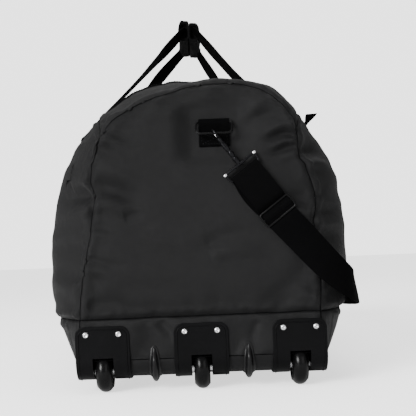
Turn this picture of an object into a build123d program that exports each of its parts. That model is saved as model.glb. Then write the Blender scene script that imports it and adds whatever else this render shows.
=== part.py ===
"""A large wheeled duffel bag, standing on its wheels and rear feet.

The bag lies along Y with the wheel end at -Y, X is to the right when looking at the wheel end, and Z is up
from the floor. All sizes are in millimetres. The sewn body is one flared tunnel form, cut into the panels
that a maker would sew together; the moulded wheel housings, tow handle, straps and hooks sit on that form.
"""

import os
from math import atan2, cos, radians, sin, sqrt

from build123d import *

os.makedirs("parts", exist_ok=True)

# ---------------------------------------------------------------- driving dimensions: sewn body
bag_length = 894.0
bag_width = 470.0
bag_top = 480.0
end_width = 366.0
end_top = 461.0
base_width = 380.0
end_base_width = 364.0
fabric_bottom = 22.0
fabric_wall = 3.0
boot_height = 112.0
widest_height = 180.0
end_widest_height = 150.0
dome_roundness = 2.4
end_dome_roundness = 3.2
end_draw_in = 2.5
straight_length = 560.0
base_corner_radius = 18.0
boot_turn = 8.0
seam_draw = 0.985
wheel_corner_radius = 28.5
rear_corner_radius = 12.0

# ---------------------------------------------------------------- driving dimensions: lid and zip
lid_width = 280.0
lid_length = 690.0
lid_corner_radius = 45.0
lid_floor = 300.0
zip_width = 14.0
seam_gap = 0.4
hinge_gap = 0.6
flap_width = 20.0
skin_gap = 0.4
skin_thickness = 1.8
slider_size = (16.0, 11.0, 4.4)
slider_lift = 0.6
pull_size = (30.0, 7.0, 1.4)
tab_height = 22.0
tab_width = 17.0
tab_neck = 4.0
tab_offset = 348.0
tab_base_height = 411.0

# ---------------------------------------------------------------- driving dimensions: wheels and housings
wheel_diameter = 64.0
wheel_width = 24.0
wheel_spacing = 148.0
wheel_proud = 3.5
tread_shoulder = 8.0
core_diameter = 42.0
core_recess = 4.0
core_hole = 5.0
core_holes = 6
bearing_diameter = 22.0
bearing_width = 7.0
axle_diameter = 8.0
axle_collar = 14.0
axle_head = 1.5
running_clearance = 0.05
side_clearance = 0.3
housing_width = 82.0
housing_top = 102.0
housing_wall = 3.0
housing_reach = 52.0
housing_corner = 14.0
slot_width = 31.0
pocket_clearance = 4.0
pocket_wall = 2.5
panel_fit = 0.3
rivet_spacing = 49.0
rivet_height = 90.0
rivet_diameter = 8.5
rivet_head = 2.4
skid_spacing = 142.0
skid_width = 18.0
skid_flange_width = 24.0
skid_flange_wall = 2.0
skid_top = 70.0
skid_depth = 10.0
skid_reach = 46.0
skid_round = 5.0

# ---------------------------------------------------------------- driving dimensions: floor and tow handle
board_side_gap = 22.0
board_thickness = 3.0
board_inset = 8.0
floor_side_gap = 30.0
floor_height = 68.0
floor_thickness = 2.5
tube_spacing = 130.0
tube_height = 58.0
tube_width = 18.0
tube_depth = 12.0
tube_wall = 1.2
sliding_clearance = 0.3
outer_tube_start = -60.0
tube_overlap = 73.0
tow_travel = 380.0
bracket_length = 24.0
bracket_width = 168.0
cup_width = 206.0
cup_height = 56.0
cup_depth = 34.0
cup_flange = 6.0
cup_wall = 2.5
cup_corner = 10.0
grip_width = 172.0
grip_height = 20.0
grip_depth = 30.0
grip_proud = 11.0
grip_leg = 36.0
grip_bar = 14.0
grip_round = 4.0
button_width = 34.0
button_height = 10.0
button_depth = 9.4
button_proud = 2.0
button_travel = 4.0
foot_spacing = 280.0
foot_offset = 385.0
foot_length = 50.0
foot_width = 40.0
foot_corner = 10.0
foot_draft = 10.0

# ---------------------------------------------------------------- driving dimensions: carry handles
carry_web_width = 38.0
carry_web_neck = 20.0
carry_web_thickness = 2.4
carry_anchor_height = 388.0
carry_anchor_spacing = 350.0
carry_pivot_gap = 0.3
carry_grip_height = 651.0
carry_grip_length = 130.0
carry_grip_width = 21.6
carry_grip_tall = 41.0
carry_grip_gap = 0.6
carry_grip_round = 4.0
side_web_bottom = 114.0

# ---------------------------------------------------------------- driving dimensions: shoulder strap
strap_offset = 32.0
strap_width = 48.0
strap_thickness = 2.0
strap_slope = 53.0
tab_web_width = 46.0
tab_web_bottom = 364.0
tab_web_thickness = 2.4
ring_wire = 3.5
ring_width = 53.5
ring_drop = 22.0
ring_tilt = 27.0
ring_bar_height = 402.0
ring_fit = 0.2
ring_round = 5.0
hook_wire = 3.0
hook_eye = 12.0
hook_seat = 2.3
hook_shank_end = 46.0
hook_shank_diameter = 8.0
hook_stem_diameter = 4.0
collar_diameter = 9.0
collar_span = (46.3, 58.0)
hook_tail = 9.0
frame_bars = (59.0, 72.0)
frame_wire = 4.0
frame_width = 58.0
gate_span = (-140.0, -30.0)
gate_clearance = 5.0
gate_reach = 10.2
gate_gap = 0.5
gate_thumb = 3.0
loop_fit = 0.5
layers_meet = (0.45, 0.65)
adjuster_place = 148.0
adjuster_length = 25.0
adjuster_width = 57.0
adjuster_wall = 4.0
adjuster_bar = 4.0
# Stations of the strap from the adjuster round the corner to the middle of the side: how far out from the
# bag's widest place, y, z, the turn of its face from the wheel end towards the side, and its fall.
strap_route = (
    (-66.0, -460.0, 211.0, 0.0, 44.0),
    (-31.0, -457.0, 178.0, 8.0, 42.0),
    (-4.0, -445.0, 157.0, 35.0, 33.0),
    (12.0, -421.0, 148.0, 65.0, 20.0),
    (18.0, -380.0, 142.0, 82.0, 10.0),
    (21.0, -310.0, 136.0, 88.0, 4.0),
    (23.0, -160.0, 130.0, 90.0, 1.0),
)
strap_middle = (24.0, 0.0, 128.0, 90.0, 0.0)

# ---------------------------------------------------------------- places worked out from the sizes
half_length = bag_length / 2
straight_half = straight_length / 2
fabric_floor = fabric_bottom + fabric_wall
wheel_radius = wheel_diameter / 2
wheel_y = -(half_length + housing_wall) + wheel_radius - wheel_proud
pocket_radius = wheel_radius + pocket_clearance
pocket_half = slot_width / 2 + pocket_wall
wheel_places = {"left": -wheel_spacing, "middle": 0.0, "right": wheel_spacing}
corner_y = -half_length + wheel_corner_radius
corner_z = fabric_bottom + wheel_corner_radius
board_front = wheel_y + pocket_radius + pocket_wall + board_inset
board_width = base_width - 2 * board_side_gap
floor_width = base_width - 2 * floor_side_gap
board_top = fabric_floor + board_thickness
cup_back = half_length - cup_depth
inner_tube_start = cup_back - tow_travel - tube_overlap
grip_out = half_length + housing_wall + grip_proud
lid_hinge_x = lid_width / 2

pieces = {}


def bag_section(y, grow):
    """The bag's cross-section at y, grown outwards by grow, as a sketch standing at y."""
    reach = max(0.0, (abs(y) - straight_half) / (half_length - straight_half))
    fade = reach**end_draw_in
    half_width = (bag_width + (end_width - bag_width) * fade) / 2 + grow
    base_half = (base_width + (end_base_width - base_width) * fade) / 2 + grow
    top = bag_top + (end_top - bag_top) * fade + grow
    middle = widest_height + (end_widest_height - widest_height) * fade
    power = 2 / (dome_roundness + (end_dome_roundness - dome_roundness) * fade)
    bottom = fabric_bottom - grow
    right = [(seam_draw * half_width, boot_height)]
    for angle in (0, 18, 36, 54, 72):
        x = half_width * cos(radians(angle)) ** power
        z = middle + (top - middle) * sin(radians(angle)) ** power
        right.append((x, z))
    left = [(-x, z) for x, z in reversed(right)]
    with BuildSketch(Plane.XZ.offset(-y)) as section:
        with BuildLine():
            base = (right[0], (base_half, bottom), (-base_half, bottom), left[-1])
            FilletPolyline(*base, radius=base_corner_radius)
            Spline(*right, (0, top), *left)
        make_face()
    return section.sketch


def bag_form(grow):
    """The whole outer form of the sewn body, grown by grow, with its two lower end edges rounded."""
    stations = [half_length + grow]
    for reach in (0.8, 0.55, 0.25, 0.0):
        stations.append(straight_half + (half_length - straight_half) * reach)
    bottom = fabric_bottom - grow
    end = half_length + grow
    front_round = wheel_corner_radius + grow
    rear_round = rear_corner_radius + grow
    with BuildPart() as form:
        for y in [-y for y in stations] + [0.0] + list(reversed(stations)):
            add(bag_section(y, grow))
        loft()
        with BuildSketch(Plane.YZ):
            with BuildLine():
                front = (-end, bottom + front_round)
                rear = (end, bottom + rear_round)
                Polyline(front, (-end, 2 * bag_top), (end, 2 * bag_top), rear)
                under_rear = Line((end - rear_round, bottom), (-end + front_round, bottom))
                RadiusArc(rear, under_rear @ 0, rear_round)
                RadiusArc(under_rear @ 1, front, front_round)
            make_face()
        extrude(amount=bag_width, both=True, mode=Mode.INTERSECT)
    return form.part


def side_x(y, z):
    """Half width of the bag's outside at y and height z, above the widest height."""
    reach = max(0.0, (abs(y) - straight_half) / (half_length - straight_half))
    fade = reach**end_draw_in
    half_width = (bag_width + (end_width - bag_width) * fade) / 2
    top = bag_top + (end_top - bag_top) * fade
    middle = widest_height + (end_widest_height - widest_height) * fade
    power = dome_roundness + (end_dome_roundness - dome_roundness) * fade
    return half_width * (1 - ((z - middle) / (top - middle)) ** power) ** (1 / power)


def side_z(y, x):
    """Height of the bag's outside at y and half width x."""
    low, high = widest_height, bag_top
    for _ in range(40):
        middle = (low + high) / 2
        if side_x(y, middle) > x:
            low = middle
        else:
            high = middle
    return low


def cut_panel(source, *regions):
    """The part of a sewn shell inside boxes given by their low and high corners."""
    with BuildPart() as panel:
        for low, high in regions:
            size = [b - a for a, b in zip(low, high)]
            with Locations(low):
                Box(*size, align=(Align.MIN, Align.MIN, Align.MIN))
        add(source, mode=Mode.INTERSECT)
    return panel.part


def lid_outline(margin):
    """The lid's outline from above, grown by margin on its three zipped sides, raised to a tall prism."""
    with BuildPart() as prism:
        with BuildSketch(Plane.XY.offset(lid_floor)) as outline:
            width = lid_width + margin
            with Locations((-margin / 2, 0)):
                Rectangle(width, lid_length + 2 * margin)
            fillet(outline.vertices().group_by(Axis.X)[0], radius=lid_corner_radius + margin)
        extrude(amount=bag_top)
    return prism.part


def pocket_cutters(clearance):
    """The room that the three wheel pockets take, grown by clearance."""
    with BuildPart() as cutters:
        for x in wheel_places.values():
            half = pocket_half + clearance
            with BuildSketch(Plane.YZ.offset(x - half)):
                with Locations((wheel_y, wheel_radius)):
                    Circle(pocket_radius + pocket_wall + clearance)
            extrude(amount=2 * half)
    return cutters.part


# ================================================================ sewn body
outside = bag_form(0)
inside = bag_form(-fabric_wall)
skin_under = bag_form(skin_gap)
skin_over = bag_form(skin_gap + skin_thickness)

with BuildPart() as shell:
    add(outside)
    add(inside, mode=Mode.SUBTRACT)

far = 2 * half_length
high = 2 * bag_top
side_cut = lid_hinge_x + zip_width
wall_y = half_length - fabric_wall
boot_side = end_base_width / 2 - boot_turn
lid_straight = lid_length / 2 - lid_corner_radius
pocket_room = pocket_cutters(panel_fit)
opening = lid_outline(zip_width)

for name, sign in (("front", -1), ("rear", 1)):
    low_y, high_y = sorted((sign * wall_y, sign * far))
    pieces[f"end_panel_{name}"] = cut_panel(shell.part, ((-far, low_y, boot_height), (far, high_y, high)))
    boot_end = cut_panel(shell.part, ((-far, low_y, 0), (far, high_y, boot_height)))
    low_y, high_y = sorted((sign * wall_y, sign * lid_straight))
    with BuildPart() as yoke:
        add(cut_panel(shell.part, ((-side_cut, low_y, boot_height), (side_cut, high_y, high))))
        add(opening, mode=Mode.SUBTRACT)
    pieces[f"top_yoke_{name}"] = yoke.part
    with BuildPart() as boot:
        add(boot_end)
        if sign < 0:
            add(pocket_room, mode=Mode.SUBTRACT)
        else:
            with BuildSketch(Plane.XZ.offset(-wall_y + 1)):
                with Locations((0, tube_height)):
                    body_width = cup_width - 2 * cup_flange + 2 * panel_fit
                    body_height = cup_height - 2 * cup_flange + 2 * panel_fit
                    RectangleRounded(body_width, body_height, cup_corner - cup_flange + panel_fit)
            extrude(amount=-2 * fabric_wall, mode=Mode.SUBTRACT)
    pieces[f"boot_{name}"] = boot.part

for name, sign in (("left", -1), ("right", 1)):
    low_x, high_x = sorted((sign * side_cut, sign * far))
    regions = [((low_x, -wall_y, boot_height), (high_x, wall_y, high))]
    if sign > 0:
        regions.append(((lid_hinge_x, -lid_straight, boot_height), (side_cut, lid_straight, high)))
    pieces[f"side_panel_{name}"] = cut_panel(shell.part, *regions)
    low_x, high_x = sorted((sign * boot_side, sign * far))
    pieces[f"boot_{name}"] = cut_panel(shell.part, ((low_x, -wall_y, 0), (high_x, wall_y, boot_height)))

with BuildPart() as bottom_panel:
    add(cut_panel(shell.part, ((-boot_side, -wall_y, 0), (boot_side, wall_y, boot_height))))
    add(pocket_room, mode=Mode.SUBTRACT)
pieces["bottom_panel"] = bottom_panel.part

# ================================================================ lid, zip and flap
with BuildPart() as lid_panel:
    add(shell.part)
    add(lid_outline(-seam_gap), mode=Mode.INTERSECT)
    add(cut_panel(shell.part, ((lid_hinge_x - hinge_gap, -far, 0), (far, far, high))), mode=Mode.SUBTRACT)
pieces["lid_panel"] = lid_panel.part

with BuildPart() as zip_track:
    add(shell.part)
    add(opening, mode=Mode.INTERSECT)
    add(lid_outline(0), mode=Mode.SUBTRACT)
pieces["zip_track"] = zip_track.part

with BuildPart() as lid_flap:
    add(skin_over)
    add(skin_under, mode=Mode.SUBTRACT)
    add(lid_outline(-seam_gap), mode=Mode.INTERSECT)
    add(lid_outline(-flap_width), mode=Mode.SUBTRACT)
    add(cut_panel(skin_over, ((lid_hinge_x - flap_width / 2, -far, 0), (far, far, high))), mode=Mode.SUBTRACT)
pieces["lid_flap"] = lid_flap.part

# The two sliders meet at the middle of the long side of the zip and part along its straight run.
track_x = -(lid_width + zip_width) / 2
track_z = side_z(0, -track_x)
track_tilt = atan2(side_z(0, -track_x - 5) - side_z(0, -track_x + 5), 10)
track_normal = Vector(-sin(track_tilt), 0, cos(track_tilt))
slider_span, slider_across, slider_tall = slider_size
pull_long, pull_across, pull_thick = pull_size
for name, sign in (("front", -1), ("rear", 1)):
    track_plane = Plane(origin=(track_x, 0, track_z), x_dir=(0, sign, 0), z_dir=track_normal)
    slider_place = slider_span / 2 + seam_gap
    with BuildPart() as slider:
        with BuildSketch(track_plane.offset(slider_lift)):
            with Locations((slider_place, 0)):
                RectangleRounded(slider_span, slider_across, slider_across / 4)
        extrude(amount=slider_tall)
        slider_top = slider.faces().sort_by(Axis(track_plane.origin, track_normal))[-1]
        chamfer(slider_top.edges(), length=slider_tall / 4)
    pieces[f"zip_slider_{name}"] = slider.part
    pull_base = slider_lift + slider_tall + seam_gap
    with BuildPart() as pull:
        with BuildSketch(track_plane.offset(pull_base)):
            with Locations((slider_place + pull_long / 2, 0)):
                SlotOverall(pull_long, pull_across)
            with Locations((slider_place + pull_long - pull_across / 2, 0)):
                Circle(pull_across / 4, mode=Mode.SUBTRACT)
        extrude(amount=pull_thick)
    pieces[f"zip_pull_{name}"] = pull.part

tab_x = side_x(tab_offset, tab_base_height)
with BuildPart() as side_tab:
    with BuildSketch(Plane.XZ.offset(tab_offset)):
        with BuildLine():
            tab_top = tab_base_height + tab_height
            Polyline(
                (tab_x - tab_neck / 2, tab_base_height),
                (tab_x + tab_neck / 2, tab_base_height),
                (tab_x + tab_width / 2 + tab_neck / 2, tab_top),
                (tab_x - tab_width / 2 + tab_neck / 2, tab_top),
                close=True,
            )
        make_face()
    extrude(amount=carry_web_thickness / 2, both=True)
    add(outside, mode=Mode.SUBTRACT)
pieces["side_pull_tab"] = side_tab.part

# ================================================================ wheels, housings and skids
with BuildPart() as housing_block:
    with BuildSketch(Plane.YZ):
        with BuildLine():
            outer_arc_end = (corner_y, fabric_bottom - housing_wall)
            outer_arc_start = (-half_length - housing_wall, corner_z)
            Polyline(
                outer_arc_end,
                (corner_y + housing_reach, fabric_bottom - housing_wall),
                (corner_y + housing_reach, 2 * housing_top),
                (-half_length - housing_wall, 2 * housing_top),
                outer_arc_start,
            )
            RadiusArc(outer_arc_start, outer_arc_end, -(wheel_corner_radius + housing_wall))
        make_face()
    extrude(amount=housing_width, both=True)

for name, place in wheel_places.items():
    with BuildPart() as housing:
        with BuildSketch(Plane.YZ.offset(place - housing_width / 2)):
            with BuildLine():
                top_out = (-half_length - housing_wall, housing_top)
                bend_out = (-half_length - housing_wall, corner_z)
                floor_out = (corner_y, fabric_bottom - housing_wall)
                rear_out = (corner_y + housing_reach, fabric_bottom - housing_wall)
                rear_in = (corner_y + housing_reach, fabric_bottom)
                floor_in = (corner_y, fabric_bottom)
                bend_in = (-half_length, corner_z)
                top_in = (-half_length, housing_top)
                Line(top_out, bend_out)
                RadiusArc(bend_out, floor_out, -(wheel_corner_radius + housing_wall))
                Polyline(floor_out, rear_out, rear_in, floor_in)
                RadiusArc(floor_in, bend_in, wheel_corner_radius)
                Polyline(bend_in, top_in, top_out)
            make_face()
        extrude(amount=housing_width)
        fillet(housing.edges().filter_by(Axis.Y).group_by(Axis.Z)[-1], radius=housing_corner)
        fillet(housing.edges().filter_by(Axis.Z).group_by(Axis.Y)[-1], radius=housing_corner)
        fillet(housing.edges().group_by(Axis.Y)[0], radius=housing_wall / 3)
        with BuildSketch(Plane.YZ.offset(place - pocket_half)):
            with Locations((wheel_y, wheel_radius)):
                Circle(pocket_radius + pocket_wall)
        extrude(amount=2 * pocket_half)
        add(housing_block.part.moved(Location((place, 0, 0))), mode=Mode.INTERSECT)
        with BuildSketch(Plane.YZ.offset(place - slot_width / 2)):
            with Locations((wheel_y, wheel_radius)):
                Circle(pocket_radius)
        extrude(amount=slot_width, mode=Mode.SUBTRACT)
        with BuildSketch(Plane.YZ.offset(place - housing_width)):
            with Locations((wheel_y, wheel_radius)):
                Circle(axle_diameter / 2)
        extrude(amount=2 * housing_width, mode=Mode.SUBTRACT)
    pieces[f"wheel_housing_{name}"] = housing.part

    spin_axis = Axis((0, wheel_y, wheel_radius), (1, 0, 0))
    half_tread = wheel_width / 2
    with BuildPart() as tyre:
        with BuildSketch(Plane(origin=(place, wheel_y, wheel_radius))):
            with BuildLine():
                shoulder = wheel_radius - tread_shoulder
                seat = core_diameter / 2
                left_shoulder, right_shoulder = (-half_tread, shoulder), (half_tread, shoulder)
                Polyline(left_shoulder, (-half_tread, seat), (half_tread, seat), right_shoulder)
                ThreePointArc(left_shoulder, (0, wheel_radius), right_shoulder)
            make_face()
        revolve(axis=spin_axis)
    pieces[f"wheel_tyre_{name}"] = tyre.part

    with BuildPart() as core:
        with BuildSketch(Plane(origin=(place, wheel_y, wheel_radius))):
            with BuildLine():
                seat = half_tread - bearing_width
                inner, outer = bearing_diameter / 2, core_diameter / 2
                rim, boss = outer - core_recess, inner + core_recess / 2
                web = half_tread - core_recess
                draft = core_recess / 4
                recess = [(half_tread, boss), (web, boss + draft), (web, rim - draft), (half_tread, rim)]
                bore = [(seat, inner - core_recess), (seat, inner), (half_tread, inner)]
                right_side = [*bore, *recess, (half_tread, outer)]
                Polyline(*right_side, *[(-x, r) for x, r in reversed(right_side)], close=True)
            make_face()
        revolve(axis=spin_axis)
        with BuildSketch(Plane.YZ.offset(place - wheel_width)):
            with Locations((wheel_y, wheel_radius)):
                with PolarLocations((boss + rim) / 2, core_holes):
                    Circle(core_hole / 2 - running_clearance)
        extrude(amount=2 * wheel_width, mode=Mode.SUBTRACT)
    pieces[f"wheel_core_{name}"] = core.part

    with BuildPart() as bearings:
        for start in (place - half_tread, place + half_tread - bearing_width):
            with BuildSketch(Plane.YZ.offset(start)):
                with Locations((wheel_y, wheel_radius)):
                    Circle(bearing_diameter / 2)
                    Circle(axle_diameter / 2 + running_clearance, mode=Mode.SUBTRACT)
            extrude(amount=bearing_width)
    pieces[f"wheel_bearings_{name}"] = bearings.part

with BuildPart() as axles:
    for place in wheel_places.values():
        with BuildSketch(Plane.YZ.offset(place - pocket_half - axle_head)):
            with Locations((wheel_y, wheel_radius)):
                Circle(axle_diameter / 2)
        extrude(amount=2 * (pocket_half + axle_head))
        collar_inner = wheel_width / 2 + side_clearance
        for start in (place - slot_width / 2, place + collar_inner):
            with BuildSketch(Plane.YZ.offset(start)):
                with Locations((wheel_y, wheel_radius)):
                    Circle(axle_collar / 2)
            extrude(amount=slot_width / 2 - collar_inner)
pieces["wheel_axles"] = axles.part

with BuildPart() as rivets:
    for place in wheel_places.values():
        for side in (-1, 1):
            with BuildSketch(Plane.XZ.offset(half_length + housing_wall)):
                with Locations((place + side * rivet_spacing / 2, rivet_height)):
                    Circle(rivet_diameter / 2)
            extrude(amount=rivet_head)
    fillet(rivets.edges().group_by(Axis.Y)[0], radius=rivet_head * 0.6)
pieces["housing_rivets"] = rivets.part

with BuildPart() as skids:
    for place in (-skid_spacing / 2, skid_spacing / 2):
        for width, depth, top, reach in (
            (skid_width, skid_depth, skid_top, skid_reach),
            (skid_flange_width, skid_flange_wall, skid_top + skid_round, skid_reach + skid_round),
        ):
            with BuildSketch(Plane.YZ.offset(place - width / 2)):
                with BuildLine():
                    front = (-half_length - depth, corner_z)
                    under = (corner_y, fabric_bottom - depth)
                    Line((-half_length, top), front)
                    RadiusArc(front, under, -(wheel_corner_radius + depth))
                    Polyline(
                        under,
                        (corner_y + reach - depth, fabric_bottom - depth),
                        (corner_y + reach, fabric_bottom),
                        (corner_y, fabric_bottom),
                    )
                    RadiusArc((corner_y, fabric_bottom), (-half_length, corner_z), wheel_corner_radius)
                    Line((-half_length, corner_z), (-half_length, top))
                make_face()
            extrude(amount=width)
pieces["skid_guards"] = skids.part

with BuildPart() as feet:
    for place in (-foot_spacing / 2, foot_spacing / 2):
        with BuildSketch(Plane.XY.offset(fabric_bottom)):
            with Locations((place, foot_offset)):
                RectangleRounded(foot_width, foot_length, foot_corner)
        extrude(amount=-fabric_bottom, taper=foot_draft)
pieces["rear_feet"] = feet.part

# ================================================================ floor and tow handle
with BuildPart() as base_board:
    with BuildSketch(Plane.XY.offset(fabric_floor)):
        with BuildLine():
            board_rear = half_length - rear_corner_radius - board_thickness
            Polyline(
                (-board_width / 2, board_front),
                (board_width / 2, board_front),
                (board_width / 2, board_rear),
                (-board_width / 2, board_rear),
                close=True,
            )
        make_face()
    extrude(amount=board_thickness)
    fillet(base_board.edges().filter_by(Axis.Z), radius=base_corner_radius)
pieces["base_board"] = base_board.part

outer_bore = (tube_width - 2 * tube_wall, tube_depth - 2 * tube_wall)
inner_tube = (outer_bore[0] - 2 * sliding_clearance, outer_bore[1] - 2 * sliding_clearance)
tube_places = ((-tube_spacing / 2, tube_height), (tube_spacing / 2, tube_height))
tube_corner = tube_wall * 1.5
grip_front = grip_out - grip_depth
leg_pocket = grip_front + grip_bar

with BuildPart() as outer_tubes:
    with BuildSketch(Plane.XZ.offset(-outer_tube_start)):
        with Locations(*tube_places):
            RectangleRounded(tube_width, tube_depth, tube_corner)
            RectangleRounded(*outer_bore, tube_corner / 2, mode=Mode.SUBTRACT)
    extrude(amount=-(cup_back - outer_tube_start))
pieces["tow_tubes_outer"] = outer_tubes.part

with BuildPart() as inner_tubes:
    with BuildSketch(Plane.XZ.offset(-inner_tube_start)):
        with Locations(*tube_places):
            RectangleRounded(*inner_tube, tube_corner / 2)
            Rectangle(inner_tube[0] - 2 * tube_wall, inner_tube[1] - 2 * tube_wall, mode=Mode.SUBTRACT)
    extrude(amount=-(leg_pocket - inner_tube_start))
pieces["tow_tubes_inner"] = inner_tubes.part

with BuildPart() as brackets:
    for start in (outer_tube_start - bracket_length / 2, cup_back - 2 * bracket_length):
        with BuildSketch(Plane.XZ.offset(-start)):
            with BuildLine():
                half_bracket = bracket_width / 2
                Polyline(
                    (-half_bracket, board_top),
                    (half_bracket, board_top),
                    (half_bracket - cup_corner, floor_height),
                    (-half_bracket + cup_corner, floor_height),
                    close=True,
                )
            make_face()
            with Locations((0, board_top)):
                Rectangle(tube_spacing - 2 * tube_width, 2 * (tube_height - board_top), mode=Mode.SUBTRACT)
        extrude(amount=-bracket_length)
    with BuildSketch(Plane.XZ.offset(-outer_tube_start)):
        with Locations(*tube_places):
            RectangleRounded(tube_width, tube_depth, tube_corner)
    extrude(amount=-(cup_back - outer_tube_start), mode=Mode.SUBTRACT)
pieces["tube_brackets"] = brackets.part

with BuildPart() as floor_panel:
    with BuildSketch(Plane.XY.offset(floor_height)):
        floor_front = board_front + board_inset
        with Locations((0, (floor_front + cup_back - cup_wall) / 2)):
            RectangleRounded(floor_width, cup_back - cup_wall - floor_front, base_corner_radius)
        with Locations((0, cup_back)):
            Rectangle(cup_width, 2 * bracket_length, mode=Mode.SUBTRACT)
    extrude(amount=floor_thickness)
pieces["floor_panel"] = floor_panel.part

cup_body = (cup_width - 2 * cup_flange, cup_height - 2 * cup_flange)
with BuildPart() as cup:
    with BuildSketch(Plane.XZ.offset(-half_length)):
        with Locations((0, tube_height)):
            RectangleRounded(cup_width, cup_height, cup_corner)
    extrude(amount=-housing_wall)
    fillet(cup.edges().group_by(Axis.Y)[-1], radius=housing_wall / 3)
    with BuildSketch(Plane.XZ.offset(-cup_back)):
        with Locations((0, tube_height)):
            RectangleRounded(*cup_body, cup_corner - cup_flange)
    extrude(amount=-cup_depth)
    with BuildSketch(Plane.XZ.offset(-cup_back - cup_wall)):
        with Locations((0, tube_height)):
            RectangleRounded(cup_body[0] - 2 * cup_wall, cup_body[1] - 2 * cup_wall, cup_corner - cup_flange)
    extrude(amount=-2 * cup_depth, mode=Mode.SUBTRACT)
    with BuildSketch(Plane.XZ.offset(-cup_back)):
        with Locations(*tube_places):
            Rectangle(inner_tube[0] + 2 * sliding_clearance, inner_tube[1] + 2 * sliding_clearance)
    extrude(amount=-cup_wall, mode=Mode.SUBTRACT)
pieces["tow_cup"] = cup.part

button_back = grip_out + button_proud - button_depth
with BuildPart() as tow_grip:
    with BuildSketch(Plane.XZ.offset(-grip_front)):
        with Locations((0, tube_height)):
            RectangleRounded(grip_width, grip_height, grip_round)
    extrude(amount=-grip_depth)
    fillet(tow_grip.edges().group_by(Axis.Y)[-1], radius=grip_round / 2)
    with BuildSketch(Plane.XY.offset(tube_height)):
        with Locations((0, grip_front)):
            RectangleRounded(grip_width - 2 * grip_leg, 2 * (grip_depth - grip_bar), grip_round)
    extrude(amount=grip_height, both=True, mode=Mode.SUBTRACT)
    with BuildSketch(Plane.XZ.offset(-grip_front)):
        with Locations(*tube_places):
            RectangleRounded(*inner_tube, tube_corner / 2)
    extrude(amount=-(leg_pocket - grip_front), mode=Mode.SUBTRACT)
    with BuildSketch(Plane.XZ.offset(-(button_back - button_travel - side_clearance))):
        with Locations((0, tube_height)):
            well = (button_width + 2 * side_clearance, button_height + 2 * side_clearance)
            RectangleRounded(*well, button_height / 3)
    extrude(amount=-grip_depth, mode=Mode.SUBTRACT)
pieces["tow_grip"] = tow_grip.part

with BuildPart() as button:
    with BuildSketch(Plane.XZ.offset(-button_back)):
        with Locations((0, tube_height)):
            RectangleRounded(button_width, button_height, button_height / 3)
    extrude(amount=-button_depth)
    fillet(button.edges().group_by(Axis.Y)[-1], radius=button_proud / 2)
pieces["tow_button"] = button.part

# ================================================================ carry handles
pivot_slope = atan2(10, side_x(0, carry_anchor_height - 5) - side_x(0, carry_anchor_height + 5))
pivot_lift = skin_gap + skin_thickness + carry_web_thickness / 2 + carry_pivot_gap
pivot_x = side_x(0, carry_anchor_height) + pivot_lift * sin(pivot_slope)
pivot_z = carry_anchor_height + pivot_lift * cos(pivot_slope)
grip_centre_x = (carry_grip_width + carry_grip_gap) / 2
loop_height = sqrt((pivot_x - grip_centre_x) ** 2 + (carry_grip_height - pivot_z) ** 2)
loop_lean = atan2(carry_grip_height - pivot_z, pivot_x - grip_centre_x)
anchor_y = carry_anchor_spacing / 2
with BuildPart() as side_web:
    add(skin_over)
    add(outside, mode=Mode.SUBTRACT)
    with Locations((0, 0, (side_web_bottom + carry_anchor_height) / 2)):
        with GridLocations(bag_width, carry_anchor_spacing, 2, 2):
            Box(bag_width / 2, carry_web_width, carry_anchor_height - side_web_bottom, mode=Mode.INTERSECT)
pieces["side_webbing"] = side_web.part

for name, sign in (("left", -1), ("right", 1)):
    up = Vector(-sign * cos(loop_lean), 0, sin(loop_lean))
    loop_plane = Plane(origin=(sign * pivot_x, 0, pivot_z), x_dir=(0, 1, 0), z_dir=Vector(0, 1, 0).cross(up))
    with BuildPart() as carry_web:
        with BuildSketch(loop_plane):
            half_web = carry_web_width / 2
            half_grip = carry_grip_length / 2
            neck = carry_web_neck / 2
            turn = half_grip + carry_grip_gap
            for end in (-1, 1):
                with BuildLine():
                    Polyline(
                        (end * (anchor_y + half_web), 0),
                        (end * (anchor_y - half_web), 0),
                        (end * turn, loop_height - neck),
                        (end * turn, loop_height + neck),
                        (end * (turn + neck), loop_height + neck / 2),
                        close=True,
                    )
                make_face()
            with Locations((0, loop_height)):
                Rectangle(2 * turn, carry_web_neck)
        extrude(amount=carry_web_thickness / 2, both=True)
        for end in (-1, 1):
            with BuildSketch(Plane.XZ.offset(-end * anchor_y + half_web)):
                with Locations((sign * pivot_x, pivot_z)):
                    Circle(carry_web_thickness / 2)
            extrude(amount=-carry_web_width)
    pieces[f"carry_webbing_{name}"] = carry_web.part

    with BuildPart() as carry_grip:
        with BuildSketch(Plane.XZ):
            with Locations((sign * grip_centre_x, carry_grip_height)):
                Ellipse(carry_grip_width / 2, carry_grip_tall / 2)
        extrude(amount=half_grip, both=True)
        grip_rims = carry_grip.edges().group_by(Axis.Y)
        fillet(grip_rims[0] + grip_rims[-1], radius=carry_grip_round)
        with BuildSketch(loop_plane):
            with Locations((0, loop_height)):
                Rectangle(2 * carry_grip_length, carry_web_neck + 2 * running_clearance)
        extrude(amount=carry_web_thickness / 2 + running_clearance, both=True, mode=Mode.SUBTRACT)
    pieces[f"carry_grip_{name}"] = carry_grip.part

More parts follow.
